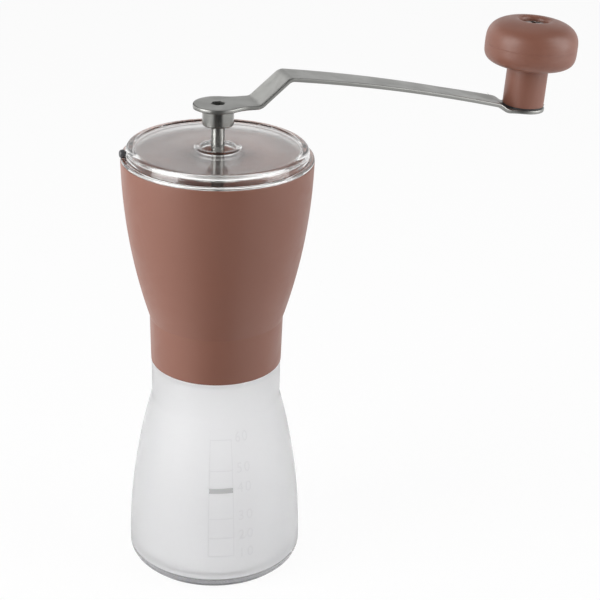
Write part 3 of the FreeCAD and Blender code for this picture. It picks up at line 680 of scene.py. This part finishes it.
class MILL_OT_finishes(bpy.types.Operator):
    """Make the mill's materials and put them on the nodes that stay"""
    bl_idname = "mill.finishes"
    bl_label = "Finishes"

    KEPT = {
        "brown_moulding": ("burr_housing",),
        "bush_moulding": ("lower_bush", "upper_bush"),
        "burr_ceramic": ("outer_burr", "inner_burr"),
        # The knob's washer is black: a dark ring that also paints the line of shade between the
        # knob's stem and the pad.
        "black_moulding": ("burr_retainer", "burr_carrier", "adjust_nut", "knob_washer"),
        "turned_steel": ("spring_washer", "nut_washer", "thrust_washer", "retaining_clip",
                         "crank_collar", "knob_pin"),
        "turned_brass": ("nut_insert",),
    }

    def execute(self, context):
        made = make_finishes(context.scene.mill_finish)
        for name, nodes in self.KEPT.items():
            for node in nodes:
                dressed = frame["nodes"][node].data
                dressed.materials.clear()
                dressed.materials.append(made[name])
        return {"FINISHED"}


# Jar

def jar_wall_at(jar, height, inset=0.0):
    """Radius of the jar's side at a height, or of a line that runs inside it."""
    return flare(jar.widest - inset, jar.side_arc - inset, jar.upright, height)


def thread_foot():
    """Height of the lower end of the jar's thread."""
    return highest("jar").z - 11.4 * MM


def jar_outline(jar):
    """Corners of the jar's wall, from under its floor round to the floor's inside."""
    mouth = highest("jar").z
    crease = jar.upright + flare_rise(jar.widest, jar.side_arc, jar.waist)
    inner_waist = jar.waist - jar.wall
    inner_crease = jar.upright + flare_rise(jar.widest - jar.wall, jar.side_arc - jar.wall,
                                            inner_waist)
    inner_neck = jar.neck - jar.neck_wall
    foot_edge = jar.widest - jar.corner - jar.foot
    floor_top = jar.recess + jar.floor
    inner_corner = jar.corner - jar.wall / 2
    lip = 0.5 * MM
    side = [(jar_wall_at(jar, z), z) for z in spaced(jar.corner * 1.3, crease, 36)]
    inside = [(jar_wall_at(jar, z, jar.wall), z)
              for z in spaced(inner_crease, floor_top + inner_corner * 1.3, 30)]
    return [
        (0, jar.recess),
        (foot_edge - jar.recess, jar.recess, lip),
        (foot_edge, 0, lip / 2),
        (jar.widest, 0, jar.corner),
        *side,
        (jar.waist, jar.shoulder, lip),
        (jar.neck, jar.shoulder),
        (jar.neck, mouth, lip),
        (inner_neck, mouth, lip),
        (inner_neck, jar.shoulder),
        (inner_waist, jar.shoulder - inner_waist + inner_neck),
        *inside,
        (jar_wall_at(jar, floor_top, jar.wall), floor_top, inner_corner),
        (0, floor_top),
    ]


class MILL_OT_jar(bpy.types.Operator):
    """Make the frosted jar with its thread"""
    bl_idname = "mill.jar"
    bl_label = "Jar"

    THREAD_WIDTH = 1.6 * MM
    THREAD_TURNS = 2.5

    def execute(self, context):
        jar = context.scene.mill_jar
        wall = turned(jar_outline(jar))
        thread = ridge(jar.neck, jar.thread, self.THREAD_WIDTH, thread_foot(), jar.pitch,
                       self.THREAD_TURNS)
        add_piece("jar_wall", joined(wall, thread), "frosted_wall", "jar",
                  "frosted_plastic", "jar")
        return {"FINISHED"}


class MILL_OT_scale(bpy.types.Operator):
    """Make the ladder of marks and numbers on the jar's side"""
    bl_idname = "mill.scale"
    bl_label = "Scale"

    MARKS = {
        "60": 63.8 * MM,
        "50": 51.6 * MM,
        "40": 43.6 * MM,
        "30": 31.9 * MM,
        "20": 23.6 * MM,
        "10": 15.6 * MM,
    }
    MIDDLE_MARK = "40"
    LEFT = math.radians(-111.5)
    RIGHT = math.radians(-94.5)
    NUMBERS = math.radians(-91.5)
    LINE = 0.35 * MM
    THICK_LINE = 2.0 * MM
    NUMBER_HEIGHT = 4.2 * MM
    NUMBER_LIFT = 0.6 * MM

    def bar(self, left, right, middle, thickness):
        """Flat bar in scale space: x along the wall's turn, y up."""
        bm = bmesh.new()
        bmesh.ops.create_grid(bm, x_segments=12, y_segments=12, size=0.5)
        bmesh.ops.scale(bm, verts=bm.verts, vec=(right - left, thickness, 1))
        bmesh.ops.translate(bm, verts=bm.verts, vec=((left + right) / 2, middle, 0))
        return bm

    def number(self, text, left, middle):
        """Digits in scale space, left-aligned and centred on a height."""
        curve = bpy.data.curves.new("digits", "FONT")
        curve.body = text
        curve.size = self.NUMBER_HEIGHT * 1.4
        curve.align_x = "LEFT"
        curve.align_y = "CENTER"
        curve.space_character = 1.25
        holder = bpy.data.objects.new("digits", curve)
        mesh = bpy.data.meshes.new_from_object(holder)
        bm = bmesh.new()
        bm.from_mesh(mesh)
        bmesh.ops.subdivide_edges(bm, edges=bm.edges, cuts=1)
        bmesh.ops.triangulate(bm, faces=bm.faces)
        bmesh.ops.translate(bm, verts=bm.verts, vec=(left, middle, 0))
        bpy.data.objects.remove(holder)
        bpy.data.curves.remove(curve)
        bpy.data.meshes.remove(mesh)
        return bm

    def execute(self, context):
        jar = context.scene.mill_jar
        left = self.LEFT * jar.widest
        right = self.RIGHT * jar.widest
        numbers = self.NUMBERS * jar.widest
        heights = list(self.MARKS.values())
        parts = []
        for text, height in self.MARKS.items():
            if text != self.MIDDLE_MARK:
                parts.append(self.bar(left, right, height, self.LINE))
            parts.append(self.number(text, numbers, height + self.NUMBER_LIFT))
        rail = max(heights) - min(heights)
        centre = (max(heights) + min(heights)) / 2
        for edge in (left, right):
            parts.append(self.bar(edge - self.LINE / 2, edge + self.LINE / 2, centre, rail))
        middle = self.bar(left, right, self.MARKS[self.MIDDLE_MARK], self.THICK_LINE)
        self.wrap(jar, "jar_scale", joined(*parts), "scale_relief")
        self.wrap(jar, "jar_middle_mark", middle, "scale_bar")
        return {"FINISHED"}

    def wrap(self, jar, name, relief, finish):
        """Gives flat shapes their height, bends them round the wall and adds the piece."""
        bmesh.ops.solidify(relief, geom=relief.faces[:], thickness=-jar.print_height)
        for vert in relief.verts:
            turn = vert.co.x / jar.widest
            radius = jar_wall_at(jar, vert.co.y) + vert.co.z
            vert.co = (radius * math.cos(turn), radius * math.sin(turn), vert.co.y)
        bmesh.ops.recalc_face_normals(relief, faces=relief.faces)
        add_piece(name, relief, finish, "jar", "frosted_plastic")


class MILL_OT_seal(bpy.types.Operator):
    """Make the soft ring between jar and hopper"""
    bl_idname = "mill.seal"
    bl_label = "Seal"

    def execute(self, context):
        low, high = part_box("seal_ring")
        jar = context.scene.mill_jar
        inner = jar.neck - jar.neck_wall + 0.1 * MM
        edge = 0.4 * MM
        ring = turned([
            (inner, low.z, edge),
            (high.x, low.z, edge),
            (high.x, high.z, edge),
            (inner, high.z, edge),
        ])
        add_piece("seal_band", ring, "seal_rubber", "seal", "seal", "seal_ring")
        return {"FINISHED"}


# Hopper

class MILL_OT_hopper(bpy.types.Operator):
    """Make the hopper's outer moulding with its skirt and thread"""
    bl_idname = "mill.hopper"
    bl_label = "Hopper"

    THREAD_WIDTH = 1.2 * MM
    THREAD_TURNS = 2.0
    WALL_START = 1.5 * MM
    CREASE_ROUND = 0.8 * MM

    def execute(self, context):
        hopper = context.scene.mill_hopper
        jar = context.scene.mill_jar
        foot = lowest("hopper_shell").z
        rim = highest("hopper_shell").z
        upright = rim + hopper.upright
        crease = upright - flare_rise(hopper.widest, hopper.side_arc, hopper.crease)
        inner_widest = hopper.widest - hopper.wall
        inner_arc = hopper.side_arc - hopper.wall
        inner_low = hopper.ledge_high + self.WALL_START
        side = [(flare(hopper.widest, hopper.side_arc, upright, z), z)
                for z in spaced(crease, rim, 36)]
        inside = [(flare(inner_widest, inner_arc, upright, z), z)
                  for z in spaced(rim, inner_low, 32)]
        wall = turned([
            (hopper.bore, foot, hopper.edge),
            (hopper.skirt, foot, hopper.edge),
            (*side[0], self.CREASE_ROUND),
            *side[1:-1],
            (side[-1][0], rim, hopper.edge),
            (inside[0][0], rim, hopper.edge),
            *inside[1:],
            (hopper.crease - hopper.wall, hopper.ledge_high),
            (hopper.ledge, hopper.ledge_high),
            (hopper.ledge, hopper.ledge_low),
            (hopper.bore, hopper.ledge_low, hopper.edge),
        ])
        thread = ridge(hopper.bore, -hopper.thread, self.THREAD_WIDTH,
                       thread_foot() + jar.pitch / 2, jar.pitch, self.THREAD_TURNS)
        add_piece("hopper_wall", joined(wall, thread), "brown_moulding", "hopper",
                  "brown_plastic", "hopper_shell")
        return {"FINISHED"}


# Lid

def lid_top(lid):
    """Height of the lid's raised border."""
    return highest("hopper_shell").z + lid.rise


def lid_underside(lid):
    """Height of the underside of the lid's top."""
    return lid_top(lid) - lid.dish - lid.wall


def lid_radii(lid):
    """Outer radius of the flange and of the side wall."""
    flange = highest("lid").x
    return flange, flange - lid.side_in


class MILL_OT_lid(bpy.types.Operator):
    """Make the clear lid"""
    bl_idname = "mill.lid"
    bl_label = "Lid"

    SEAT_GAP = 0.02 * MM
    EDGE = 0.3 * MM

    def execute(self, context):
        lid = context.scene.mill_lid
        rim = highest("hopper_shell").z
        top = lid_top(lid)
        bottom = lowest("lid").z
        flange, side = lid_radii(lid)
        flange_top = rim + lid.flange
        edge = side - lid.lean
        border = edge - lid.border
        dish = top - lid.dish
        under = lid_underside(lid)
        bead = dish + lid.bead_rise
        boss = lid.hole + lid.boss_wall
        cover = turned([
            (lid.plug, rim + self.SEAT_GAP),
            (flange, rim + self.SEAT_GAP, lid.flange / 5),
            (flange, flange_top, lid.flange / 3),
            (side, flange_top, lid.flange / 3),
            (edge, top, lid.shoulder),
            (border + lid.dish, top, lid.dish),
            (border, dish, lid.dish),
            (lid.bead, dish, self.EDGE),
            (lid.bead - lid.bead_rise, bead, lid.bead_rise / 2),
            (lid.hole, bead, lid.boss_wall / 2),
            (lid.hole, under - lid.boss, self.EDGE),
            (boss, under - lid.boss, self.EDGE),
            (boss, under, 2 * self.EDGE),
            (lid.plug - lid.plug_wall, under, lid.wall),
            (lid.plug - lid.plug_wall, bottom, self.EDGE),
            (lid.plug, bottom, lid.plug_wall / 3),
        ], steps=192)
        add_piece("lid_cover", cover, "clear_wall", "lid", "clear_plastic", "lid")
        return {"FINISHED"}


class MILL_OT_pull(bpy.types.Operator):
    """Make the small pull in the lid's side"""
    bl_idname = "mill.pull"
    bl_label = "Lid pull"

    REACH = 2.1 * MM
    ROOT = 0.6 * MM
    EDGE = 0.2 * MM
    LOWERED = 0.5 * MM

    def execute(self, context):
        lid = context.scene.mill_lid
        low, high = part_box("lid_pull")
        middle = (low + high) / 2
        turn = math.atan2(middle.y, middle.x)
        side = lid_radii(lid)[1]
        neck = lid.pull * 0.62
        button = turned([
            (0, -self.ROOT),
            (neck, -self.ROOT),
            (neck, 0),
            (lid.pull, 0, self.EDGE),
            (lid.pull, self.REACH, lid.pull * 0.72),
            (0, self.REACH),
        ], steps=40)
        lay_out = Matrix.Rotation(math.radians(90), 4, "Y")
        aim = Matrix.Rotation(turn, 4, "Z")
        place = Matrix.Translation((side * math.cos(turn), side * math.sin(turn),
                                    middle.z - self.LOWERED))
        bmesh.ops.transform(button, matrix=place @ aim @ lay_out, verts=button.verts)
        add_piece("lid_button", button, "pull_moulding", "lid", "pull_plastic",
                  "lid_pull")
        return {"FINISHED"}


# Shaft

class MILL_OT_shaft(bpy.types.Operator):
    """Make the drive shaft with its hexagons, clip groove and threaded end"""
    bl_idname = "mill.shaft"
    bl_label = "Shaft"

    SUNK = 0.3 * MM
    EDGE = 0.1 * MM
    STUD_EDGE = 0.35 * MM
    KEY_EDGE = 0.12 * MM

    def key(self, flats, low, high):
        """Hexagonal bar with its edges taken off."""
        bm = hexagon(flats, low, high)
        bmesh.ops.bevel(bm, geom=bm.edges[:], offset=self.KEY_EDGE, offset_type="OFFSET",
                        segments=2, profile=0.5, affect="EDGES", material=-1)
        return bm

    def execute(self, context):
        shaft = context.scene.mill_shaft
        low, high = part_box("drive_shaft")
        clip_low = lowest("retaining_clip").z
        clip_high = highest("retaining_clip").z
        rod = turned([
            (0, shaft.hex_high),
            (shaft.rod, shaft.hex_high, self.EDGE),
            (shaft.rod, clip_low),
            (shaft.rod - shaft.groove, clip_low),
            (shaft.rod - shaft.groove, clip_high),
            (shaft.rod, clip_high),
            (shaft.rod, shaft.collar, self.EDGE),
            (0, shaft.collar),
        ], steps=64)
        core = shaft.screw - shaft.screw_depth
        stud = turned([
            (0, low.z),
            (core, low.z, self.STUD_EDGE),
            (core, shaft.hex_low + self.SUNK),
            (0, shaft.hex_low + self.SUNK),
        ], steps=48)
        turns = (shaft.hex_low - low.z - 0.8 * MM) / shaft.screw_pitch
        thread = ridge(core, shaft.screw_depth, 0.8 * shaft.screw_pitch, low.z + 0.5 * MM,
                       shaft.screw_pitch, turns, steps_a_turn=36)
        burr_key = self.key(shaft.flats, shaft.hex_low, shaft.hex_high + self.SUNK)
        crank_key = self.key(shaft.flats, shaft.collar - self.SUNK,
                             high.z - 2 * self.SUNK)
        whole = joined(rod, stud, thread, burr_key, crank_key)
        add_piece("shaft_rod", whole, "turned_steel", "shaft", "bright_steel",
                  "drive_shaft")
        return {"FINISHED"}


class MILL_OT_spring(bpy.types.Operator):
    """Make the coil that presses the inner burr down on its nut"""
    bl_idname = "mill.spring"
    bl_label = "Spring"

    STEPS_A_TURN = 32
    WIRE_SIDES = 12

    def execute(self, context):
        spring = context.scene.mill_spring
        low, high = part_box("spring")
        middle = high.x - spring.wire / 2
        climb = high.z - low.z - spring.wire
        steps = int(spring.turns * self.STEPS_A_TURN)
        bm = bmesh.new()
        bmesh.ops.create_circle(bm, cap_ends=False, segments=self.WIRE_SIDES,
                                radius=spring.wire / 2)
        bmesh.ops.rotate(bm, verts=bm.verts, cent=CENTRE,
                         matrix=Matrix.Rotation(math.radians(90), 3, "X"))
        bmesh.ops.translate(bm, verts=bm.verts, vec=(middle, 0, low.z + spring.wire / 2))
        bmesh.ops.spin(bm, geom=bm.verts[:] + bm.edges[:], cent=CENTRE, axis=UPWARDS,
                       dvec=(0, 0, climb / steps), angle=FULL_TURN * spring.turns,
                       steps=steps, use_duplicate=False)
        close_ends(bm, self.WIRE_SIDES)
        coil = new_piece("spring_coil", bm, "drawn_steel", "bright_steel", "spring")
        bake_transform(coil)
        return {"FINISHED"}


# Crank

class MILL_OT_crank(bpy.types.Operator):
    """Make the crank's bent steel strip"""
    bl_idname = "mill.crank"
    bl_label = "Crank"

    ROWS = 10
    CLOSEST = 0.05 * MM
    PAST_DISC = 1.2
    BEND_ROUND = 2.4 * MM
    RUN_ROUND = 3.8 * MM
    RAMP_ROUND = 5.5 * MM
    PAD_ROUND = 3.0 * MM
    SHARP = math.radians(60)

    def half_width(self, crank, reach, x):
        """Half width of the strip seen from above, with both hollow blends."""
        def beside(centre, radius, half, blend, distance):
            """Edge near a disc: its circle, the hollow blend or the strip's own half width."""
            along = math.sqrt((radius + blend) ** 2 - (half + blend) ** 2)
            touch = along * radius / (radius + blend)
            if distance <= touch:
                return math.sqrt(max(radius ** 2 - distance ** 2, 0))
            if distance < along:
                return half + blend - math.sqrt(blend ** 2 - (along - distance) ** 2)
            return half

        share = min(max((x - crank.bend) / (reach - crank.bend), 0), 1)
        strip = crank.waist + (crank.end_width - crank.waist) * share
        if x < reach / 2:
            return beside(0, crank.plate, strip, crank.plate_blend, x)
        return beside(reach, crank.pad, strip, crank.pad_blend, reach - x)

    def side_line(self, crank, reach, lean):
        """Top line of the strip seen from the side, as points in order along X."""
        top = highest("crank_collar").z + crank.gauge
        rise = Vector((crank.bend + crank.rise_run, top + crank.rise))
        pad_top = top - crank.pad_drop
        join = Vector((reach - crank.pad_join, pad_top + crank.pad_join * math.tan(lean)))
        run_end = join + Vector((-crank.ramp_run, crank.ramp))
        run = [(rise.lerp(run_end, t) + Vector((0, 4 * crank.bow * t * (1 - t))))
               for t in spaced(0, 1, 16)]
        end = reach + crank.pad
        corners = [
            (-crank.plate, top),
            (crank.bend, top, self.BEND_ROUND),
            (*run[0], self.RUN_ROUND),
            *[tuple(spot) for spot in run[1:-1]],
            (*run_end, self.RAMP_ROUND),
            (*join, self.PAD_ROUND),
            (end, pad_top - crank.pad * math.tan(lean)),
        ]
        wire = outline(corners, closed=False)
        line = sorted((vert.co.x, vert.co.z) for vert in wire.verts)
        wire.free()
        return line

    def stations(self, crank, reach, line):
        """Places along X with a row of points, closest together round plate and pad."""
        end = reach + crank.pad
        places = {x for x, _ in line if -crank.plate < x < end}
        for step in spaced(0, math.pi / 2, 14):
            places.add(-crank.plate * math.cos(step))
            places.add(crank.plate * math.sin(step) * self.PAST_DISC)
            places.add(reach + crank.pad * math.cos(step))
            places.add(reach - crank.pad * math.sin(step) * self.PAST_DISC)
        places.update(spaced(crank.bend, reach - crank.pad, 40))
        places = sorted(places)
        return [a for a, b in zip(places, places[1:]) if b - a > self.CLOSEST] + [end]

    def height_at(self, line, x):
        """Height of the top line at a place along X."""
        for (x0, z0), (x1, z1) in zip(line, line[1:]):
            if x <= x1:
                return z0 + (z1 - z0) * (x - x0) / (x1 - x0)
        return line[-1][1]

    def execute(self, context):
        crank = context.scene.mill_crank
        lean = context.scene.mill_knob.lean
        reach = knob_foot().x
        line = self.side_line(crank, reach, lean)
        stations = self.stations(crank, reach, line)
        bm = bmesh.new()
        bmesh.ops.create_grid(bm, x_segments=len(stations) - 1, y_segments=self.ROWS,
                              size=0.5)
        for vert in bm.verts:
            x = stations[round((vert.co.x + 0.5) * (len(stations) - 1))]
            half = self.half_width(crank, reach, x)
            shift = crank.ramp_skew * max(vert.co.y * 2, 0)
            nearness = min(max((x - reach) / (4 * crank.pad) + 1, 0), 1)
            vert.co = (x, vert.co.y * 2 * half, self.height_at(line, x - shift * nearness))
        bmesh.ops.remove_doubles(bm, verts=bm.verts, dist=WELD)
        bmesh.ops.recalc_face_normals(bm, faces=bm.faces)
        if sum(face.normal.z for face in bm.faces) < 0:
            bmesh.ops.reverse_faces(bm, faces=bm.faces)
        bmesh.ops.solidify(bm, geom=bm.faces[:], thickness=crank.gauge)
        put_in_order(bm)
        bmesh.ops.recalc_face_normals(bm, faces=bm.faces)
        rims = [edge for edge in bm.edges if edge.calc_face_angle(0) > self.SHARP]
        bmesh.ops.bevel(bm, geom=rims, offset=crank.edge, offset_type="OFFSET", segments=3,
                        profile=0.5, affect="EDGES", material=-1)
        closed_body(bm)
        piece = add_piece("crank_strip", bm, "drawn_steel", "crank", "satin_steel",
                          "crank_arm")
        top = highest("crank_collar").z
        cut_away(piece, hexagon(crank.socket, top - 3 * crank.gauge, top + 3 * crank.gauge))
        return {"FINISHED"}


# Knob

def knob_foot():
    """Point on the pad's top where the knob's axis meets it."""
    joint = next(joint for joint in frame["joints"] if joint["name"] == "knob_spin")
    return Vector(joint["pos_m"])


class MILL_OT_knob(bpy.types.Operator):
    """Make the mushroom knob"""
    bl_idname = "mill.knob"
    bl_label = "Knob"

    CROWN_POWER = 2.9
    BOWL_POWER = 4.0
    WASHER = 0.52 * MM
    SEAM_HALF = 0.12 * MM
    EDGE = 0.3 * MM

    def half(self, knob, height, power, end):
        """Side of one half of the knob, from its widest circle to an end radius."""
        last = math.acos((end / knob.widest) ** (power / 2))
        spots = []
        for turn in spaced(0, last, 26):
            radius = knob.widest * math.cos(turn) ** (2 / power)
            rise = height * math.sin(turn) ** (2 / power)
            spots.append((radius, knob.middle + rise))
        return spots

    def execute(self, context):
        knob = context.scene.mill_knob
        crown = self.half(knob, knob.crown, self.CROWN_POWER, knob.well + knob.well_edge)
        bowl = self.half(knob, -knob.bowl, self.BOWL_POWER, knob.stem_top)
        rim = crown[-1][1]
        well = rim - knob.well_depth
        body = turned([
            (knob.bore, self.WASHER),
            (knob.stem_foot, self.WASHER, self.EDGE),
            *bowl[:0:-1],
            (knob.widest, knob.middle - self.SEAM_HALF),
            (knob.widest - knob.seam, knob.middle),
            (knob.widest, knob.middle + self.SEAM_HALF),
            *crown[1:-1],
            (knob.well, rim, knob.well_edge),
            (knob.well, well, self.EDGE),
            (knob.bore, well),
        ], steps=128)
        place = Matrix.Translation(knob_foot()) @ Matrix.Rotation(knob.lean, 4, "Y")
        bmesh.ops.transform(body, matrix=place, verts=body.verts)
        add_piece("knob_grip", body, "brown_moulding", "knob", "knob_plastic", "knob")
        return {"FINISHED"}


# Stage

class MILL_OT_stage(bpy.types.Operator):
    """Set the floor, the lamps, the surroundings and the camera"""
    bl_idname = "mill.stage"
    bl_label = "Stage"

    CAMERA = Vector((-156.2, -501.3, 350.9)) * MM
    LOOKED_AT = Vector((34.44, 0.0, 106.06)) * MM
    ROLL = 0.0338
    LENS = 89.58
    SENSOR = 36.0
    LAMPS_AIM = Vector((0, 0, 0.11))
    PATCH_TURN = math.radians(-143)
    PATCH_CLIMB = Vector((0, 0, 0.45))
    FLOOR_GREY = (0.85, 0.85, 0.85)
    FLOOR_SINK = 0.05 * MM
    FLOOR_WHITE = 0.94
    MATT_LEVEL = 0.25
    WHITE = (1, 1, 1)

    def camera(self, context):
        view = bpy.data.cameras.new("camera")
        view.lens = self.LENS
        view.sensor_width = self.SENSOR
        view.clip_start = 0.01
        view.clip_end = 20
        holder = bpy.data.objects.new("camera", view)
        context.scene.collection.objects.link(holder)
        aim = (self.LOOKED_AT - self.CAMERA).to_track_quat("-Z", "Y").to_matrix().to_4x4()
        roll = Matrix.Rotation(self.ROLL, 4, "Z")
        holder.matrix_world = Matrix.Translation(self.CAMERA) @ aim @ roll
        context.scene.camera = holder

    def softbox(self, context, name, turn, distance, height, size, power):
        """Upright area lamp at a turn from the camera's side, facing the mill."""
        towards = math.atan2(self.CAMERA.y, self.CAMERA.x) + math.radians(turn)
        lamp = bpy.data.lights.new(name, "AREA")
        lamp.shape = "RECTANGLE"
        lamp.size = size[0]
        lamp.size_y = size[1]
        lamp.energy = power
        holder = bpy.data.objects.new(name, lamp)
        spot = Vector((distance * math.cos(towards), distance * math.sin(towards), height))
        holder.location = spot
        holder.rotation_euler = (self.LAMPS_AIM - spot).to_track_quat("-Z", "Y").to_euler()
        holder.visible_camera = False
        context.scene.collection.objects.link(holder)

    def ray_kinds(self, tree):
        """1 for rays that the camera sends, straight or through the lid; 1 for mirrored rays."""
        path = add_node(tree, "ShaderNodeLightPath").outputs
        seen = combined(tree, "MAXIMUM", path["Is Camera Ray"], path["Is Transmission Ray"])
        return seen, path["Is Glossy Ray"]

    def studio_level(self, tree, direction):
        """Brightness of the mirrored studio: white with a brighter patch behind on the
        left, darker overhead and to the front."""
        facing = Vector((self.CAMERA.x, self.CAMERA.y, 0)).normalized()
        aside = Matrix.Rotation(self.PATCH_TURN, 3, "Z") @ facing
        patch = (aside + self.PATCH_CLIMB).normalized()
        unit = vector_step(tree, "NORMALIZE", direction)
        flat = vector_step(tree, "MULTIPLY", direction, (1, 1, 0))
        bearing = vector_step(tree, "NORMALIZE", flat)
        frontal = vector_step(tree, "DOT_PRODUCT", bearing, facing, "Value")
        climb = add_node(tree, "ShaderNodeSeparateXYZ", Vector=unit).outputs["Z"]
        near = vector_step(tree, "DOT_PRODUCT", unit, patch, "Value")
        front_level = spread(tree, frontal, 0.75, 0.95, 1.0, 0.1, "SMOOTHSTEP")
        top_level = spread(tree, climb, 0.45, 0.58, 1.0, 0.12, "SMOOTHSTEP")
        patch_level = spread(tree, near, 0.88, 0.96, 1.0, 1.9, "SMOOTHSTEP")
        level = combined(tree, "MULTIPLY", front_level, top_level)
        return combined(tree, "MULTIPLY", level, patch_level)

    def shared_out(self, tree, share, first, second):
        """Shader between two others, by a 0 to 1 share of the second."""
        mix = add_node(tree, "ShaderNodeMixShader", Fac=share)
        plug(tree, first, mix.inputs[1])
        plug(tree, second, mix.inputs[2])
        return mix.outputs["Shader"]

    def floor_material(self):
        """Matt grey that takes the shadow, white to the camera and the studio to mirrors."""
        material = bpy.data.materials.new("floor")
        material.use_nodes = True
        tree = material.node_tree
        tree.nodes.clear()
        place = add_node(tree, "ShaderNodeTexCoord").outputs["Object"]
        seen, mirrored = self.ray_kinds(tree)
        matt = add_node(tree, "ShaderNodeBsdfDiffuse", Color=self.FLOOR_GREY)
        studio = add_node(tree, "ShaderNodeEmission", Color=self.WHITE,
                          Strength=self.studio_level(tree, place))
        white = add_node(tree, "ShaderNodeEmission", Color=self.WHITE, Strength=1.0)
        lit = self.shared_out(tree, mirrored, matt.outputs["BSDF"], studio.outputs["Emission"])
        share = combined(tree, "MULTIPLY", seen, self.FLOOR_WHITE)
        whole = self.shared_out(tree, share, lit, white.outputs["Emission"])
        add_node(tree, "ShaderNodeOutputMaterial", Surface=whole)
        return material

    def floor(self, context):
        bm = bmesh.new()
        bmesh.ops.create_circle(bm, cap_ends=True, segments=64, radius=6.0)
        bmesh.ops.translate(bm, verts=bm.verts, vec=(0, 0, -self.FLOOR_SINK))
        mesh = bpy.data.meshes.new("floor")
        bm.to_mesh(mesh)
        bm.free()
        mesh.materials.append(self.floor_material())
        piece = bpy.data.objects.new("floor", mesh)
        context.scene.collection.objects.link(piece)

    def surroundings(self, context):
        """White to the camera, the studio to mirrors and a plain grey to matt surfaces."""
        world = bpy.data.worlds.new("studio")
        context.scene.world = world
        world.use_nodes = True
        tree = world.node_tree
        tree.nodes.clear()
        place = add_node(tree, "ShaderNodeTexCoord").outputs["Generated"]
        seen, mirrored = self.ray_kinds(tree)
        studio = self.studio_level(tree, place)
        lit = mixed(tree, "FLOAT", mirrored, self.MATT_LEVEL, studio)
        level = mixed(tree, "FLOAT", seen, lit, 1.0)
        glow = add_node(tree, "ShaderNodeBackground", Color=self.WHITE, Strength=level)
        add_node(tree, "ShaderNodeOutputWorld", Surface=glow.outputs["Background"])

    def execute(self, context):
        context.scene.view_settings.view_transform = "Standard"
        self.camera(context)
        self.surroundings(context)
        self.floor(context)
        self.softbox(context, "softbox_left", -66, 0.75, 0.42, (0.55, 0.8), 8.0)
        self.softbox(context, "softbox_right", 78, 0.75, 0.42, (0.5, 0.8), 4.6)
        self.softbox(context, "softbox_top", 170, 0.5, 1.0, (0.7, 0.7), 1.2)
        return {"FINISHED"}


OPERATORS = (
    MILL_OT_stage,
    MILL_OT_finishes,
    MILL_OT_jar,
    MILL_OT_scale,
    MILL_OT_seal,
    MILL_OT_hopper,
    MILL_OT_lid,
    MILL_OT_pull,
    MILL_OT_shaft,
    MILL_OT_spring,
    MILL_OT_crank,
    MILL_OT_knob,
)


class MILL_PT_pieces(bpy.types.Panel):
    """Lists the mill's pieces in the sidebar"""
    bl_idname = "MILL_PT_pieces"
    bl_label = "Hand Coffee Mill"
    bl_space_type = "VIEW_3D"
    bl_region_type = "UI"
    bl_category = "Mill"

    def draw(self, context):
        for operator in OPERATORS:
            self.layout.operator(operator.bl_idname)
        for settings in SETTINGS:
            group = getattr(context.scene, settings)
            box = self.layout.box()
            for name in group.__annotations__:
                box.prop(group, name)


CLASSES = (*SETTINGS.values(), *OPERATORS, MILL_PT_pieces)


def register():
    for cls in CLASSES:
        bpy.utils.register_class(cls)
    for name, group in SETTINGS.items():
        setattr(bpy.types.Scene, name, bpy.props.PointerProperty(type=group))


def unregister():
    for name in SETTINGS:
        delattr(bpy.types.Scene, name)
    for cls in reversed(CLASSES):
        bpy.utils.unregister_class(cls)


def main():
    register()
    bpy.ops.mill.stage()
    bpy.ops.mill.finishes()
    bpy.ops.mill.jar()
    bpy.ops.mill.scale()
    bpy.ops.mill.seal()
    bpy.ops.mill.hopper()
    bpy.ops.mill.lid()
    bpy.ops.mill.pull()
    bpy.ops.mill.shaft()
    bpy.ops.mill.spring()
    bpy.ops.mill.crank()
    bpy.ops.mill.knob()


if __name__ == "__main__":
    main()
